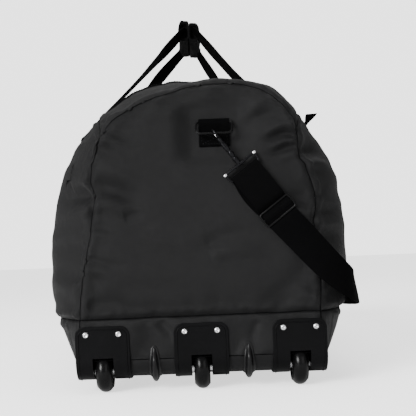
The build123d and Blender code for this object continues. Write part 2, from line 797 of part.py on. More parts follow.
# ================================================================ strap anchors and hooks, at the wheel end
bar_y = -half_length - tab_web_thickness - ring_wire / 2 - ring_fit
fold_radius = ring_wire / 2 + ring_fit + tab_web_thickness
with BuildPart() as strap_tab:
    with BuildSketch(Plane.YZ.offset(strap_offset - tab_web_width / 2)):
        with BuildLine():
            fold_bottom = ring_bar_height - 2 * fold_radius
            fold_front = bar_y - fold_radius
            tab_front = -half_length - tab_web_thickness
            Polyline(
                (-half_length, ring_bar_height),
                (-half_length, tab_web_bottom),
                (tab_front, tab_web_bottom),
                (tab_front, fold_bottom - fold_radius / 2),
                (fold_front, fold_bottom),
                (fold_front, ring_bar_height),
            )
            arc_top = (bar_y, ring_bar_height + fold_radius)
            RadiusArc((fold_front, ring_bar_height), arc_top, fold_radius)
            Polyline(arc_top, (-half_length, ring_bar_height + fold_radius), (-half_length, ring_bar_height))
        make_face()
        with Locations((bar_y, ring_bar_height)):
            Circle(ring_wire / 2 + ring_fit, mode=Mode.SUBTRACT)
    extrude(amount=tab_web_width)

ring_down = Vector(0, -sin(radians(ring_tilt)), -cos(radians(ring_tilt)))
ring_top = Vector(strap_offset, bar_y, ring_bar_height)
ring_bottom = ring_top + ring_down * ring_drop
ring_plane = Plane(origin=ring_top, x_dir=(1, 0, 0), z_dir=Vector(1, 0, 0).cross(-ring_down))
half_ring = ring_width / 2
with BuildPart() as strap_ring:
    with BuildLine(ring_plane) as ring_path:
        FilletPolyline(
            (half_ring, 0), (half_ring, -ring_drop), (-half_ring, -ring_drop), (-half_ring, 0),
            radius=ring_round, close=True,
        )
    with BuildSketch(Plane(origin=ring_path.line @ 0, z_dir=ring_path.line % 0)):
        Circle(ring_wire / 2)
    sweep()

slope = radians(strap_slope)
along = Vector(cos(slope), 0, -sin(slope))
hook_plane = Plane(origin=ring_bottom, x_dir=along, z_dir=(sin(slope), 0, cos(slope)))
eye_outer = hook_eye / 2 + hook_wire
collar_start, collar_end = collar_span
hook_top = hook_seat + hook_eye / 2 + hook_wire / 2
pivot_turn = radians(gate_span[1] - gate_clearance)
gate_middle = (hook_eye + hook_wire) / 2
gate_pivot = (hook_seat + gate_middle * cos(pivot_turn), gate_middle * sin(pivot_turn))


def gate_sector(clearance, gap):
    """The part of the hook's eye that its gate takes, short of its pivot and of its tip."""
    start, end = gate_span[0], gate_span[1] - clearance
    reach = 2 * eye_outer
    rim = []
    for angle in (start, (start + end) / 2, end):
        rim.append((hook_seat + reach * cos(radians(angle)), reach * sin(radians(angle))))
    with BuildPart() as sector:
        with BuildSketch(hook_plane):
            with BuildLine():
                Line((hook_seat, 0), rim[0])
                ThreePointArc(*rim)
                Line(rim[-1], (hook_seat, 0))
            make_face()
            with Locations(gate_pivot):
                Circle(gate_reach - gap, mode=Mode.INTERSECT)
        extrude(amount=hook_wire, both=True)
    return sector.part


with BuildPart() as snap_hook:
    with BuildSketch(hook_plane):
        with Locations((hook_seat, 0)):
            Circle(eye_outer)
            Circle(hook_eye / 2, mode=Mode.SUBTRACT)
    extrude(amount=hook_wire / 2, both=True)
    chamfer(snap_hook.edges().filter_by(GeomType.CIRCLE), length=hook_wire / 4)
    add(gate_sector(0, 0), mode=Mode.SUBTRACT)
    with BuildSketch(Plane(origin=hook_plane.from_local_coords((hook_top, 0, 0)), z_dir=along)):
        Circle(hook_shank_diameter / 2)
    extrude(amount=hook_shank_end - hook_top)
    with BuildSketch(Plane(origin=hook_plane.from_local_coords((hook_shank_end, 0, 0)), z_dir=along)):
        Circle(hook_stem_diameter / 2)
    extrude(amount=hook_tail)

with BuildPart() as hook_gate:
    with BuildSketch(hook_plane):
        with Locations((hook_seat, 0)):
            Circle(eye_outer)
            Circle(hook_eye / 2, mode=Mode.SUBTRACT)
        with Locations((hook_seat, -eye_outer)):
            Circle(gate_thumb / 2)
    extrude(amount=hook_wire / 2, both=True)
    add(gate_sector(gate_clearance, gate_gap), mode=Mode.INTERSECT)

with BuildPart() as hook_frame:
    with BuildSketch(Plane(origin=ring_bottom, x_dir=along, z_dir=(0, -1, 0))):
        near_bar, far_bar = frame_bars
        with Locations(((near_bar + far_bar) / 2, 0)):
            RectangleRounded(far_bar - near_bar + frame_wire, frame_width, frame_wire)
            Rectangle(far_bar - near_bar - frame_wire, frame_width - 2 * frame_wire, mode=Mode.SUBTRACT)
    extrude(amount=frame_wire / 2, both=True)
    chamfer(hook_frame.faces().filter_by(Axis.Y).edges(), length=frame_wire / 5)
    with BuildSketch(Plane(origin=hook_plane.from_local_coords((collar_start, 0, 0)), z_dir=along)):
        Circle(collar_diameter / 2)
        Circle(hook_stem_diameter / 2 + running_clearance, mode=Mode.SUBTRACT)
    extrude(amount=collar_end - collar_start)

# The webbing leaves the hook's far bar in two layers, up to the adjuster; the rear ones close on the strap.
fold_inner = frame_wire / 2 + loop_fit
fold_outer = fold_inner + strap_thickness
layer_end = adjuster_place
close_start = far_bar + (layer_end - far_bar) * layers_meet[0]
strap_start = far_bar + (layer_end - far_bar) * layers_meet[1]
with BuildPart() as strap_loop:
    with BuildSketch(Plane(origin=ring_bottom, x_dir=along, z_dir=along.cross(Vector(0, -1, 0)))):
        with Locations((far_bar, 0)):
            Circle(fold_outer)
        with Locations(((far_bar + layer_end) / 2, 0)):
            Rectangle(layer_end - far_bar, 2 * fold_outer)
        with Locations((far_bar, 0)):
            Circle(fold_inner, mode=Mode.SUBTRACT)
        with Locations(((far_bar + layer_end) / 2 + fold_outer, 0)):
            Rectangle(layer_end - far_bar + 2 * fold_outer, 2 * fold_inner, mode=Mode.SUBTRACT)
    extrude(amount=strap_width / 2, both=True)

with BuildPart() as sewn_loop:
    with BuildSketch(Plane(origin=ring_bottom, x_dir=along, z_dir=along.cross(Vector(0, -1, 0)))):
        half_sewn = strap_thickness / 2
        with Locations((far_bar, 0)):
            Circle(fold_outer)
        with BuildLine():
            sewn_outer = half_sewn + strap_thickness
            upper = [(far_bar, fold_outer), (close_start, fold_outer)]
            upper += [(strap_start, sewn_outer), (layer_end, sewn_outer)]
            Polyline(*upper, *[(place, -high) for place, high in reversed(upper)], close=True)
        make_face()
        with Locations((far_bar, 0)):
            Circle(fold_inner, mode=Mode.SUBTRACT)
        with BuildLine():
            gap = [(far_bar, fold_inner), (close_start, fold_inner)]
            gap += [(strap_start, half_sewn), (2 * layer_end, half_sewn)]
            Polyline(*gap, *[(place, -high) for place, high in reversed(gap)], close=True)
        make_face(mode=Mode.SUBTRACT)
    extrude(amount=strap_width / 2, both=True)

with BuildPart() as adjuster:
    with BuildSketch(Plane(origin=ring_bottom, x_dir=along, z_dir=(0, -1, 0))):
        with Locations((adjuster_place, 0)):
            RectangleRounded(adjuster_length, adjuster_width, adjuster_bar)
            window = (adjuster_length - 3 * adjuster_bar) / 2
            for side in (-1, 1):
                with Locations((side * (window + adjuster_bar) / 2, 0)):
                    Rectangle(window, adjuster_width - 2 * adjuster_bar, mode=Mode.SUBTRACT)
    extrude(amount=frame_wire / 2, both=True)
    chamfer(adjuster.faces().filter_by(Axis.Y).edges(), length=adjuster_bar / 5)
pieces["strap_adjuster"] = adjuster.part

for name, piece in (("strap_ring", strap_ring), ("snap_hook", snap_hook), ("hook_gate", hook_gate)):
    pieces[f"{name}_front"] = piece.part
    pieces[f"{name}_rear"] = mirror(piece.part, about=Plane.XZ)

for name, piece in (("strap_tabs", strap_tab), ("hook_frames", hook_frame)):
    with BuildPart() as pair:
        add(piece.part)
        mirror(about=Plane.XZ)
    pieces[name] = pair.part


def strap_station(x, y, z, turn, fall):
    """The plane across the strap at a point, its x along the webbing's width, for its turn and its slope."""
    heading = Vector(cos(radians(turn)), sin(radians(turn)), 0)
    ahead = heading * cos(radians(fall)) - Vector(0, 0, 1) * sin(radians(fall))
    across = heading * sin(radians(fall)) + Vector(0, 0, 1) * cos(radians(fall))
    return Plane(origin=(x, y, z), x_dir=across, z_dir=ahead)


front_end = ring_bottom + along * (adjuster_place + adjuster_length / 2)
rear_end = ring_bottom + along * strap_start
rear_sewn = ring_bottom + along * layer_end
stations = [(front_end.X, front_end.Y, front_end.Z, 0.0, strap_slope)]
side_x_out = bag_width / 2
stations += [(side_x_out + out, y, z, turn, fall) for out, y, z, turn, fall in [*strap_route, strap_middle]]
stations += [(side_x_out + out, -y, z, 180 - turn, -fall) for out, y, z, turn, fall in reversed(strap_route)]
stations += [(point.X, -point.Y, point.Z, 180.0, -strap_slope) for point in (rear_sewn, rear_end)]
with BuildPart() as strap_webbing:
    for station in stations:
        with BuildSketch(strap_station(*station)):
            Rectangle(strap_width, strap_thickness)
    loft(ruled=True)
    add(strap_loop.part)
    add(mirror(sewn_loop.part, about=Plane.XZ))
pieces["strap_webbing"] = strap_webbing.part
strap_run = sum((Vector(*b[:3]) - Vector(*a[:3])).length for a, b in zip(stations, stations[1:]))
print(f"strap webbing runs {strap_run:.0f} mm between its loops")


def save_pieces():
    """Centre the whole outline on the origin in X and Y, then label and write every piece."""
    boxes = [piece.bounding_box() for piece in pieces.values()]
    shift_x = -(min(box.min.X for box in boxes) + max(box.max.X for box in boxes)) / 2
    shift_y = -(min(box.min.Y for box in boxes) + max(box.max.Y for box in boxes)) / 2
    print(f"outline centred by {shift_x:.3f} mm in X and {shift_y:.3f} mm in Y")
    for name, piece in pieces.items():
        placed = piece.moved(Location((shift_x, shift_y, 0)))
        placed.label = name
        export_step(placed, f"parts/{name}.step")


save_pieces()
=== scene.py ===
"""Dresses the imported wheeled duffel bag: sewn fabric, webbing, zip, hardware, wheels and a pale studio.

The bag lies along Y with its wheel end at -Y. Lengths are in metres. Each operator makes one group of pieces and
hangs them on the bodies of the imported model.
"""

import math

import bmesh
import bpy
import numpy as np
from mathutils import Matrix, Vector, noise
from mathutils.bvhtree import BVHTree
from mathutils.kdtree import KDTree


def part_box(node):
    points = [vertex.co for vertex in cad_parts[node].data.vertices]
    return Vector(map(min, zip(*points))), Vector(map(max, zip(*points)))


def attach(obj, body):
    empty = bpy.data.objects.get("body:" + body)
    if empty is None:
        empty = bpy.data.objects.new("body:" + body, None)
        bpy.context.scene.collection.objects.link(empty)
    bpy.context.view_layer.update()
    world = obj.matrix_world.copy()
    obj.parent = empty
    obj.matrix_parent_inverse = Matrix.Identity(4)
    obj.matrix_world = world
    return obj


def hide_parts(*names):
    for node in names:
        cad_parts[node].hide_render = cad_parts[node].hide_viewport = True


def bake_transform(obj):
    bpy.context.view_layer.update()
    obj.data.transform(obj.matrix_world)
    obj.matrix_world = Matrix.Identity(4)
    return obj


bl_info = {
    "name": "Wheeled duffel bag",
    "version": (1, 0, 0),
    "blender": (4, 5, 0),
    "location": "View3D > Sidebar > Duffel",
    "description": "Builds the fabric, straps, hardware, wheels and studio of a wheeled duffel bag",
    "category": "Object",
}

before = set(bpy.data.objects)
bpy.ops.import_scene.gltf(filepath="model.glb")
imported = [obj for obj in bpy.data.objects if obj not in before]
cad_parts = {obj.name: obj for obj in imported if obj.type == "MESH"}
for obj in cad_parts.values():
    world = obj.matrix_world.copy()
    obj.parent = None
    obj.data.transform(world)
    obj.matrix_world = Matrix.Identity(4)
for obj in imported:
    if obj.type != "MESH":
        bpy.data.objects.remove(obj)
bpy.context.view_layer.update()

# ------------------------------------------------------------------ the bag's form, as its maker cuts it
HALF_LENGTH = -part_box("end_panel_front")[0].y
CENTRE_X = sum(corner.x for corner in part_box("wheel_tyre_middle")) / 2
BAG_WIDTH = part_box("side_panel_right")[1].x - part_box("side_panel_left")[0].x
BAG_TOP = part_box("lid_panel")[1].z
END_WIDTH = 0.366
END_TOP = 0.461
BASE_WIDTH = 0.380
END_BASE_WIDTH = 0.364
BAG_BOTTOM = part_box("bottom_panel")[0].z
BOOT_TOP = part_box("boot_left")[1].z
WIDEST = 0.180
END_WIDEST = 0.150
DOME_POWER = 2.4
END_DOME_POWER = 3.2
STRAIGHT_HALF = 0.280
WHEEL_END_DRAW = 3.0
REAR_END_DRAW = 2.5
LEAN = 0.009
BASE_ROUND = 0.018
WAIST_DRAW = 0.015
WHEEL_END_ROUND = 0.0285
REAR_END_ROUND = 0.012
SEAM_X = 0.154
LID_X = 0.140
LID_Y = 0.345
ZIP_WIDTH = 0.014
LID_CORNER = 0.045
OPENING_Y = LID_Y + ZIP_WIDTH

TOP_STEPS, SIDE_STEPS, BOOT_STEPS, CORNER_STEPS, BOTTOM_STEPS = 14, 33, 6, 3, 14
HALF_RING = TOP_STEPS + SIDE_STEPS + BOOT_STEPS + CORNER_STEPS + BOTTOM_STEPS
RING = 2 * HALF_RING
END_FRONT, END_REAR, SIDE_LEFT, SIDE_RIGHT, TOP_FRONT, TOP_REAR = range(6)
BOOT_FRONT, BOOT_REAR, BOOT_LEFT, BOOT_RIGHT, BOTTOM, OPENING = range(6, 12)


def deselect():
    """Nothing selected and object mode, before an operator that acts on all that is selected."""
    if bpy.context.object and bpy.context.object.mode != "OBJECT":
        bpy.ops.object.mode_set(mode="OBJECT")
    bpy.ops.object.select_all(action="DESELECT")


def activate(piece):
    """Make one piece the only one selected."""
    deselect()
    piece.select_set(True)
    bpy.context.view_layer.objects.active = piece


def apply_modifiers(piece):
    """Apply every modifier of a piece, in order."""
    activate(piece)
    for modifier in list(piece.modifiers):
        bpy.ops.object.modifier_apply(modifier=modifier.name)


def settle(piece):
    """Put a piece's place into its mesh, so that its object sits at the origin."""
    activate(piece)
    bpy.ops.object.transform_apply(location=True, rotation=True, scale=True)


def new_object(name, data):
    """An object for a mesh, curve, light or camera, in the scene."""
    piece = bpy.data.objects.new(name, data)
    bpy.context.scene.collection.objects.link(piece)
    return piece


def mesh_piece(name, points, faces, uvs=None):
    """A new mesh object from points and faces, with a UV in metres for every point if given."""
    mesh = bpy.data.meshes.new(name)
    mesh.from_pydata([tuple(point) for point in points], [], faces)
    if uvs is not None:
        layer = mesh.uv_layers.new(name="UVMap")
        corners = np.zeros(len(mesh.loops), np.int32)
        mesh.loops.foreach_get("vertex_index", corners)
        layer.data.foreach_set("uv", np.asarray(uvs, float)[corners].ravel())
    mesh.validate()
    return new_object(name, mesh)


def copy_of(piece, name):
    """A copy of a piece with a mesh of its own."""
    copy = piece.copy()
    copy.data = piece.data.copy()
    copy.name = copy.data.name = name
    bpy.context.scene.collection.objects.link(copy)
    return copy


def vectors(items, key):
    """One vector of every item of a mesh's collection, as an array."""
    values = np.zeros(len(items) * 3)
    items.foreach_get(key, values)
    return values.reshape(-1, 3)


def coordinates(mesh):
    """A mesh's points as an array."""
    return vectors(mesh.vertices, "co")


def normals_of(mesh):
    """A mesh's point normals as an array."""
    return vectors(mesh.vertex_normals, "vector")


def set_coordinates(mesh, values):
    """Write an array of points back to a mesh."""
    mesh.vertices.foreach_set("co", np.asarray(values, float).ravel())
    mesh.update()


def smooth(low, high, value):
    """A smooth step from 0 at low to 1 at high."""
    t = np.clip((value - low) / (high - low), 0.0, 1.0)
    return t * t * (3 - 2 * t)


def distance_along(points):
    """How far along a polyline each of its points is."""
    steps = np.linalg.norm(np.diff(np.asarray(points, float), axis=0), axis=1)
    return np.concatenate([[0], np.cumsum(steps)])


def between(wanted, along, points):
    """The place at a distance, or at several, along a polyline."""
    return np.stack([np.interp(wanted, along, column) for column in np.asarray(points, float).T], axis=-1)


def resample(points, count):
    """count + 1 points at equal steps along a polyline."""
    along = distance_along(points)
    return between(np.linspace(0, along[-1], count + 1), along, points)


def grid_faces(rows, columns, turned=False):
    """The quads of a grid with that many cells, counted row by row; turned gives them the other side up."""
    stride = columns + 1
    faces = []
    for row in range(rows):
        for column in range(columns):
            start = row * stride + column
            quad = (start, start + 1, start + stride + 1, start + stride)
            faces.append(quad[:1] + quad[:0:-1] if turned else quad)
    return faces


def panels_at_points(mesh):
    """For every point of the shell, the set of panels that meet there."""
    panels = [set() for _ in mesh.vertices]
    for polygon in mesh.polygons:
        for vertex in polygon.vertices:
            panels[vertex].add(polygon.material_index)
    return panels


def floor_height(y):
    """Height of the bag's underside, which curves up into both ends."""
    radius = WHEEL_END_ROUND if y < 0 else REAR_END_ROUND
    inside = HALF_LENGTH - abs(y)
    if inside >= radius:
        return BAG_BOTTOM
    return BAG_BOTTOM + radius - math.sqrt(max(0.0, radius**2 - (radius - inside) ** 2))


def half_outline(y):
    """The right half of the cross-section at y, from the top's middle down to the bottom's middle."""
    reach = max(0.0, (abs(y) - STRAIGHT_HALF) / (HALF_LENGTH - STRAIGHT_HALF))
    fade = reach ** (WHEEL_END_DRAW if y < 0 else REAR_END_DRAW)
    half_width = (BAG_WIDTH + (END_WIDTH - BAG_WIDTH) * fade) / 2
    base = (BASE_WIDTH + (END_BASE_WIDTH - BASE_WIDTH) * fade) / 2
    top = BAG_TOP + (END_TOP - BAG_TOP) * fade
    middle = WIDEST + (END_WIDEST - WIDEST) * fade
    power = 2 / (DOME_POWER + (END_DOME_POWER - DOME_POWER) * fade)
    turn = np.radians(np.linspace(90, 0, 600))
    dome_x = half_width * np.abs(np.cos(turn)) ** power
    dome_z = middle + (top - middle) * np.sin(turn) ** power
    waist_z = np.linspace(middle, BOOT_TOP, 30)[1:]
    waist_x = half_width * (1 - WAIST_DRAW * ((middle - waist_z) / (middle - BOOT_TOP)) ** 2)
    outline = np.stack([np.concatenate([dome_x, waist_x]), np.concatenate([dome_z, waist_z])], axis=1)
    seam = int(np.argmax(outline[:, 0] > SEAM_X))
    before, after = outline[seam - 1], outline[seam]
    on_seam = before + (after - before) * (SEAM_X - before[0]) / (after[0] - before[0])
    foot = outline[-1]
    corner = np.array([base, BAG_BOTTOM])
    up = (foot - corner) / np.linalg.norm(foot - corner)
    inward = np.array([-1.0, 0.0])
    tangent = BASE_ROUND / math.tan(math.acos(float(up @ inward)) / 2)
    t = np.linspace(0, 1, 12)[:, None]
    arc = (1 - t) ** 2 * (corner + up * tangent) + 2 * t * (1 - t) * corner + t**2 * (corner + inward * tangent)
    parts = [
        resample(np.vstack([outline[:seam], on_seam]), TOP_STEPS)[:-1],
        resample(np.vstack([on_seam, outline[seam:]]), SIDE_STEPS)[:-1],
        resample(np.vstack([foot, arc[0]]), BOOT_STEPS)[:-1],
        resample(arc, CORNER_STEPS)[:-1],
        resample(np.vstack([arc[-1], [0.0, BAG_BOTTOM]]), BOTTOM_STEPS),
    ]
    points = np.vstack(parts)
    lifted = floor_height(y)
    low = points[:, 1] < BOOT_TOP
    points[low, 1] = lifted + (points[low, 1] - BAG_BOTTOM) * (BOOT_TOP - lifted) / (BOOT_TOP - BAG_BOTTOM)
    return points


def shell_rows():
    """The places along Y of the shell's rows, closer together where an end is rounded."""
    front = [-HALF_LENGTH + WHEEL_END_ROUND * (1 - math.cos(math.radians(a))) for a in (0, 22.5, 45, 67.5, 90)]
    rear = [HALF_LENGTH - REAR_END_ROUND * (1 - math.cos(math.radians(a))) for a in (90, 45, 0)]
    lead = np.linspace(front[-1], -OPENING_Y, 6)[1:-1]
    middle = np.linspace(-OPENING_Y, OPENING_Y, 61)
    tail = np.linspace(OPENING_Y, rear[0], 8)[1:-1]
    return [*front, *lead, *middle, *tail, *rear]


def ring_index(row, step):
    """The number of a point on the shell's row, counted round from the top's middle."""
    return row * RING + step % RING


def bag_shell():
    """The bag's outside as one closed mesh of quads, each tagged with the panel that it belongs to."""
    rows = shell_rows()
    points, uvs, faces, panels = [], [], [], []
    for y in rows:
        half = half_outline(y)
        ring = [(x, z) for x, z in half] + [(-x, z) for x, z in half[-2:0:-1]]
        along = distance_along(ring + ring[:1])
        for step, (x, z) in enumerate(ring):
            points.append((x + CENTRE_X, y, z))
            uvs.append((y, along[step] - (along[-1] if step > HALF_RING else 0)))
    for row in range(len(rows) - 1):
        middle_y = (rows[row] + rows[row + 1]) / 2
        for step in range(RING):
            corners = ((row, step), (row, step + 1), (row + 1, step + 1), (row + 1, step))
            faces.append(tuple(ring_index(*corner) for corner in corners))
            half_step = min(step, RING - 1 - step)
            right = step < HALF_RING
            if half_step < TOP_STEPS:
                panel = OPENING if abs(middle_y) < OPENING_Y else TOP_FRONT if middle_y < 0 else TOP_REAR
            elif half_step < TOP_STEPS + SIDE_STEPS:
                panel = SIDE_RIGHT if right else SIDE_LEFT
            elif half_step < HALF_RING - BOTTOM_STEPS:
                panel = BOOT_RIGHT if right else BOOT_LEFT
            else:
                panel = BOTTOM
            panels.append(panel)
    across = 2 * TOP_STEPS
    rise = SIDE_STEPS + BOOT_STEPS + CORNER_STEPS
    seam_row = CORNER_STEPS + BOOT_STEPS
    for row, end_panel, boot in ((0, END_FRONT, BOOT_FRONT), (len(rows) - 1, END_REAR, BOOT_REAR)):
        ring = np.array(points[row * RING:(row + 1) * RING])
        bottom_steps = [RING - (HALF_RING - BOTTOM_STEPS) - c for c in range(across + 1)]
        top_steps = [c - TOP_STEPS for c in range(across + 1)]
        number = {}
        for c in range(across + 1):
            number[0, c] = ring_index(row, bottom_steps[c])
            number[rise, c] = ring_index(row, top_steps[c])
        low_line, high_line = ring[[s % RING for s in bottom_steps]], ring[[s % RING for s in top_steps]]
        low_part = (low_line[:, 0] - low_line[0, 0]) / (low_line[-1, 0] - low_line[0, 0])
        high_part = (high_line[:, 0] - high_line[0, 0]) / (high_line[-1, 0] - high_line[0, 0])
        for r in range(1, rise):
            step = HALF_RING - BOTTOM_STEPS - r
            number[r, 0], number[r, across] = ring_index(row, -step), ring_index(row, step)
            left, right = ring[-step % RING], ring[step]
            share = r / rise
            arch = max(0.0, (r - seam_row) / (rise - seam_row)) ** 2
            for c in range(1, across):
                part = (1 - share) * low_part[c] + share * high_part[c]
                x = left[0] + part * (right[0] - left[0])
                z = left[2] + arch * (high_line[c, 2] - high_line[0, 2])
                number[r, c] = len(points)
                points.append((x, left[1], z))
                uvs.append((x, z))
        for r in range(rise):
            for c in range(across):
                faces.append((number[r, c], number[r, c + 1], number[r + 1, c + 1], number[r + 1, c]))
                panels.append(boot if r < seam_row else end_panel)
    shell = mesh_piece("bag_shell", points, faces, uvs)
    shell.data.polygons.foreach_set("material_index", np.array(panels, np.int32))
    attribute = shell.data.attributes.new("rest", "FLOAT_VECTOR", "POINT")
    attribute.data.foreach_set("vector", np.array(points, float).ravel())
    bm = bmesh.new()
    bm.from_mesh(shell.data)
    bmesh.ops.recalc_face_normals(bm, faces=bm.faces)
    crease = bm.edges.layers.float.new("crease_edge")
    for edge in bm.edges:
        if len({face.material_index for face in edge.link_faces}) > 1:
            edge[crease] = SEAM_CREASE
    bm.to_mesh(shell.data)
    bm.free()
    return shell


# ------------------------------------------------------------------ folds and seams of the fabric, in millimetres
# Folds of the wheel end: points (x, z) from the middle of the boot's top, width, height (negative for a valley).
FOLDS = (
    (((156, 262), (141, 277), (126, 279), (104, 270), (92, 262), (86, 252)), 5.8, 6),
    (((156, 258), (134, 267), (114, 262), (98, 252)), 5.2, -6),
    (((156, 254), (134, 256), (114, 250), (100, 246)), 4.6, 3.6),
    (((156, 248), (134, 246), (114, 239), (96, 238)), 5, -5),
    (((156, 240), (134, 234), (116, 228)), 5.2, 3),
    (((52, 284), (72, 300), (92, 310), (116, 310)), 8, 4.4),
    (((66, 276), (88, 290), (112, 296), (136, 288)), 8, -4.4),
    (((172, 160), (150, 172), (122, 176)), 8.5, -4),
    (((172, 148), (146, 148), (112, 142)), 9, 3.6),
    (((174, 112), (152, 104), (130, 106)), 8, -2.8),
    (((-156, 286), (-130, 278), (-100, 266), (-78, 256)), 6.5, -4),
    (((-156, 276), (-130, 266), (-104, 252)), 6.5, 3.6),
    (((-160, 262), (-134, 250), (-110, 238)), 6.5, -3.2),
    (((-148, 306), (-126, 312), (-100, 318), (-80, 322)), 8, -5.2),
    (((-176, 198), (-148, 200), (-120, 192), (-94, 181), (-78, 172)), 13.5, -8.5),
    (((-176, 220), (-146, 224), (-116, 216), (-86, 200)), 13, 4),
    (((-174, 170), (-146, 174), (-116, 168), (-90, 156)), 12, 6),
    (((-110, 150), (-94, 154), (-76, 162)), 8, -3.6),
    (((-178, 144), (-154, 140), (-132, 134), (-112, 134)), 7.5, -3.6),
    (((-178, 124), (-150, 126), (-118, 128)), 8, 3),
    (((-182, 90), (-154, 88), (-124, 82), (-104, 84)), 6.5, -3.8),
    (((-182, 78), (-156, 74), (-128, 72)), 7, 2.8),
    (((-184, 58), (-158, 60), (-126, 52)), 7.5, -3),
    (((-186, 36), (-160, 34), (-130, 36)), 7, 2.6),
    (((190, 52), (168, 66), (150, 86)), 7.5, 3.4),
    (((192, 30), (166, 40), (138, 44)), 7.5, -3.4),
    (((192, 16), (162, 24), (130, 22)), 6.5, 2.6),
    (((-60, 318), (-20, 328), (24, 326)), 11, -3),
    (((-84, 298), (-50, 306), (-12, 300)), 12, 2.6),
    (((8, 108), (56, 122), (108, 118)), 11, -3.4),
    (((16, 90), (64, 98), (108, 90)), 11, 3),
    (((-80, 120), (-20, 112), (30, 118)), 14, 1.8),
    (((-120, 50), (-60, 44), (0, 50)), 13, -1.8),
    (((-76, -6), (-62, -26), (-54, -46)), 6, 7.5),
    (((-60, -4), (-46, -24), (-40, -44)), 6, -7.5),
    (((70, -40), (60, -58), (58, -72)), 5.5, 8),
    (((88, -10), (78, -30), (80, -48)), 5.5, -6.5),
)
# Creases that run on from the wheel end over the bag's sides: side, points (y, z above the boot), width, height.
SIDE_FOLDS = (
    (-1, ((-462, 194), (-430, 188), (-390, 182), (-340, 176)), 16, -5),
    (-1, ((-462, 210), (-425, 208), (-380, 212)), 12, 5),
    (-1, ((-462, 168), (-420, 160), (-370, 150)), 12, 4.5),
    (-1, ((-462, 262), (-430, 270), (-390, 268)), 10, -4),
    (-1, ((-462, 110), (-430, 104), (-395, 108)), 10, -3.5),
    (-1, ((-462, 60), (-430, 64), (-395, 58)), 10, -3),
    (1, ((-462, 238), (-430, 246), (-385, 242)), 10, -6),
    (1, ((-462, 222), (-425, 224), (-380, 216)), 10, 5),
    (1, ((-462, 154), (-430, 150), (-385, 156)), 10, -4.5),
    (1, ((-462, 140), (-425, 132), (-375, 130)), 11, 4),
    (1, ((-462, 118), (-430, 112), (-390, 110)), 10, -3.5),
)
# How far the sewn edge of the wheel end sits from its even curve: (height, shift along X) down each side.
LEFT_SEAM = (
    (110, -1), (172, 7), (202, 12), (239, 18), (276, 20.5), (297, 21.5), (318, 12.5), (347, 8.5), (372, 6), (400, 5),
    (425, 3),
)
RIGHT_SEAM = (
    (120, 1), (167, 1), (222, -4), (248, -8), (266, -3), (290, -3), (320, -8), (334, -9), (342, -16), (362, -13),
    (384, -6), (402, 0),
)
# The same along the top: (place along X, drop).
TOP_SEAM = (
    (-165, 0), (-150, 6), (-135, 13), (-115, 18), (-90, 18), (-45, 12), (-20, 6), (10, 1), (60, 0),
)
GROOVE_DEPTH = 0.0026
GROOVE_WIDTH = 0.0042
SHOULDER_HEIGHT = 0.0016
CAP_ON_DRAPE = 0.009
SEAM_CREASE = 0.85
REAR_SHARE = 0.6
MM = 0.001


def along_curve(points, count=40):
    """Points along a smooth curve through a few given ones."""
    points = np.asarray(points, float)
    knots = np.linspace(0, len(points) - 1, count)
    ends = np.vstack([2 * points[0] - points[1], points, 2 * points[-1] - points[-2]])
    curve = []
    for knot in knots:
        k = min(int(knot), len(points) - 2)
        t = knot - k
        a, b, c, d = ends[k:k + 4]
        curve.append(0.5 * (2 * b + (c - a) * t + (2 * a - 5 * b + 4 * c - d) * t**2 + (3 * b - a - 3 * c + d) * t**3))
    return np.array(curve)


def fold_field(x, z, folds):
    """Height of folds at places on a panel, in metres: each is a soft ridge that fades out at its ends."""
    height = np.zeros_like(x)
    for points, width, ridge in folds:
        curve = along_curve(points) * MM
        best = np.full_like(x, 1e9)
        place = np.zeros_like(x)
        for k, (cx, cz) in enumerate(curve):
            distance = (x - cx) ** 2 + (z - cz) ** 2
            closer = distance < best
            best = np.where(closer, distance, best)
            place = np.where(closer, k / (len(curve) - 1), place)
        fade = smooth(1.0, 0.45, place) * smooth(-0.05, 0.12, place)
        height += ridge * MM * fade * np.exp(-best / (width * MM) ** 2)
    return height


def noise_field(points, scale, seed, stretch=(1.0, 1.0, 1.0)):
    """Soft noise at places, between about -1 and 1."""
    offset = Vector((seed * 7.3, seed * 3.1, seed * 5.7))
    factor = Vector(stretch) / scale
    return np.array([
        noise.noise(Vector((x * factor.x, y * factor.y, z * factor.z)) + offset) for x, y, z in points
    ]) * 1.6


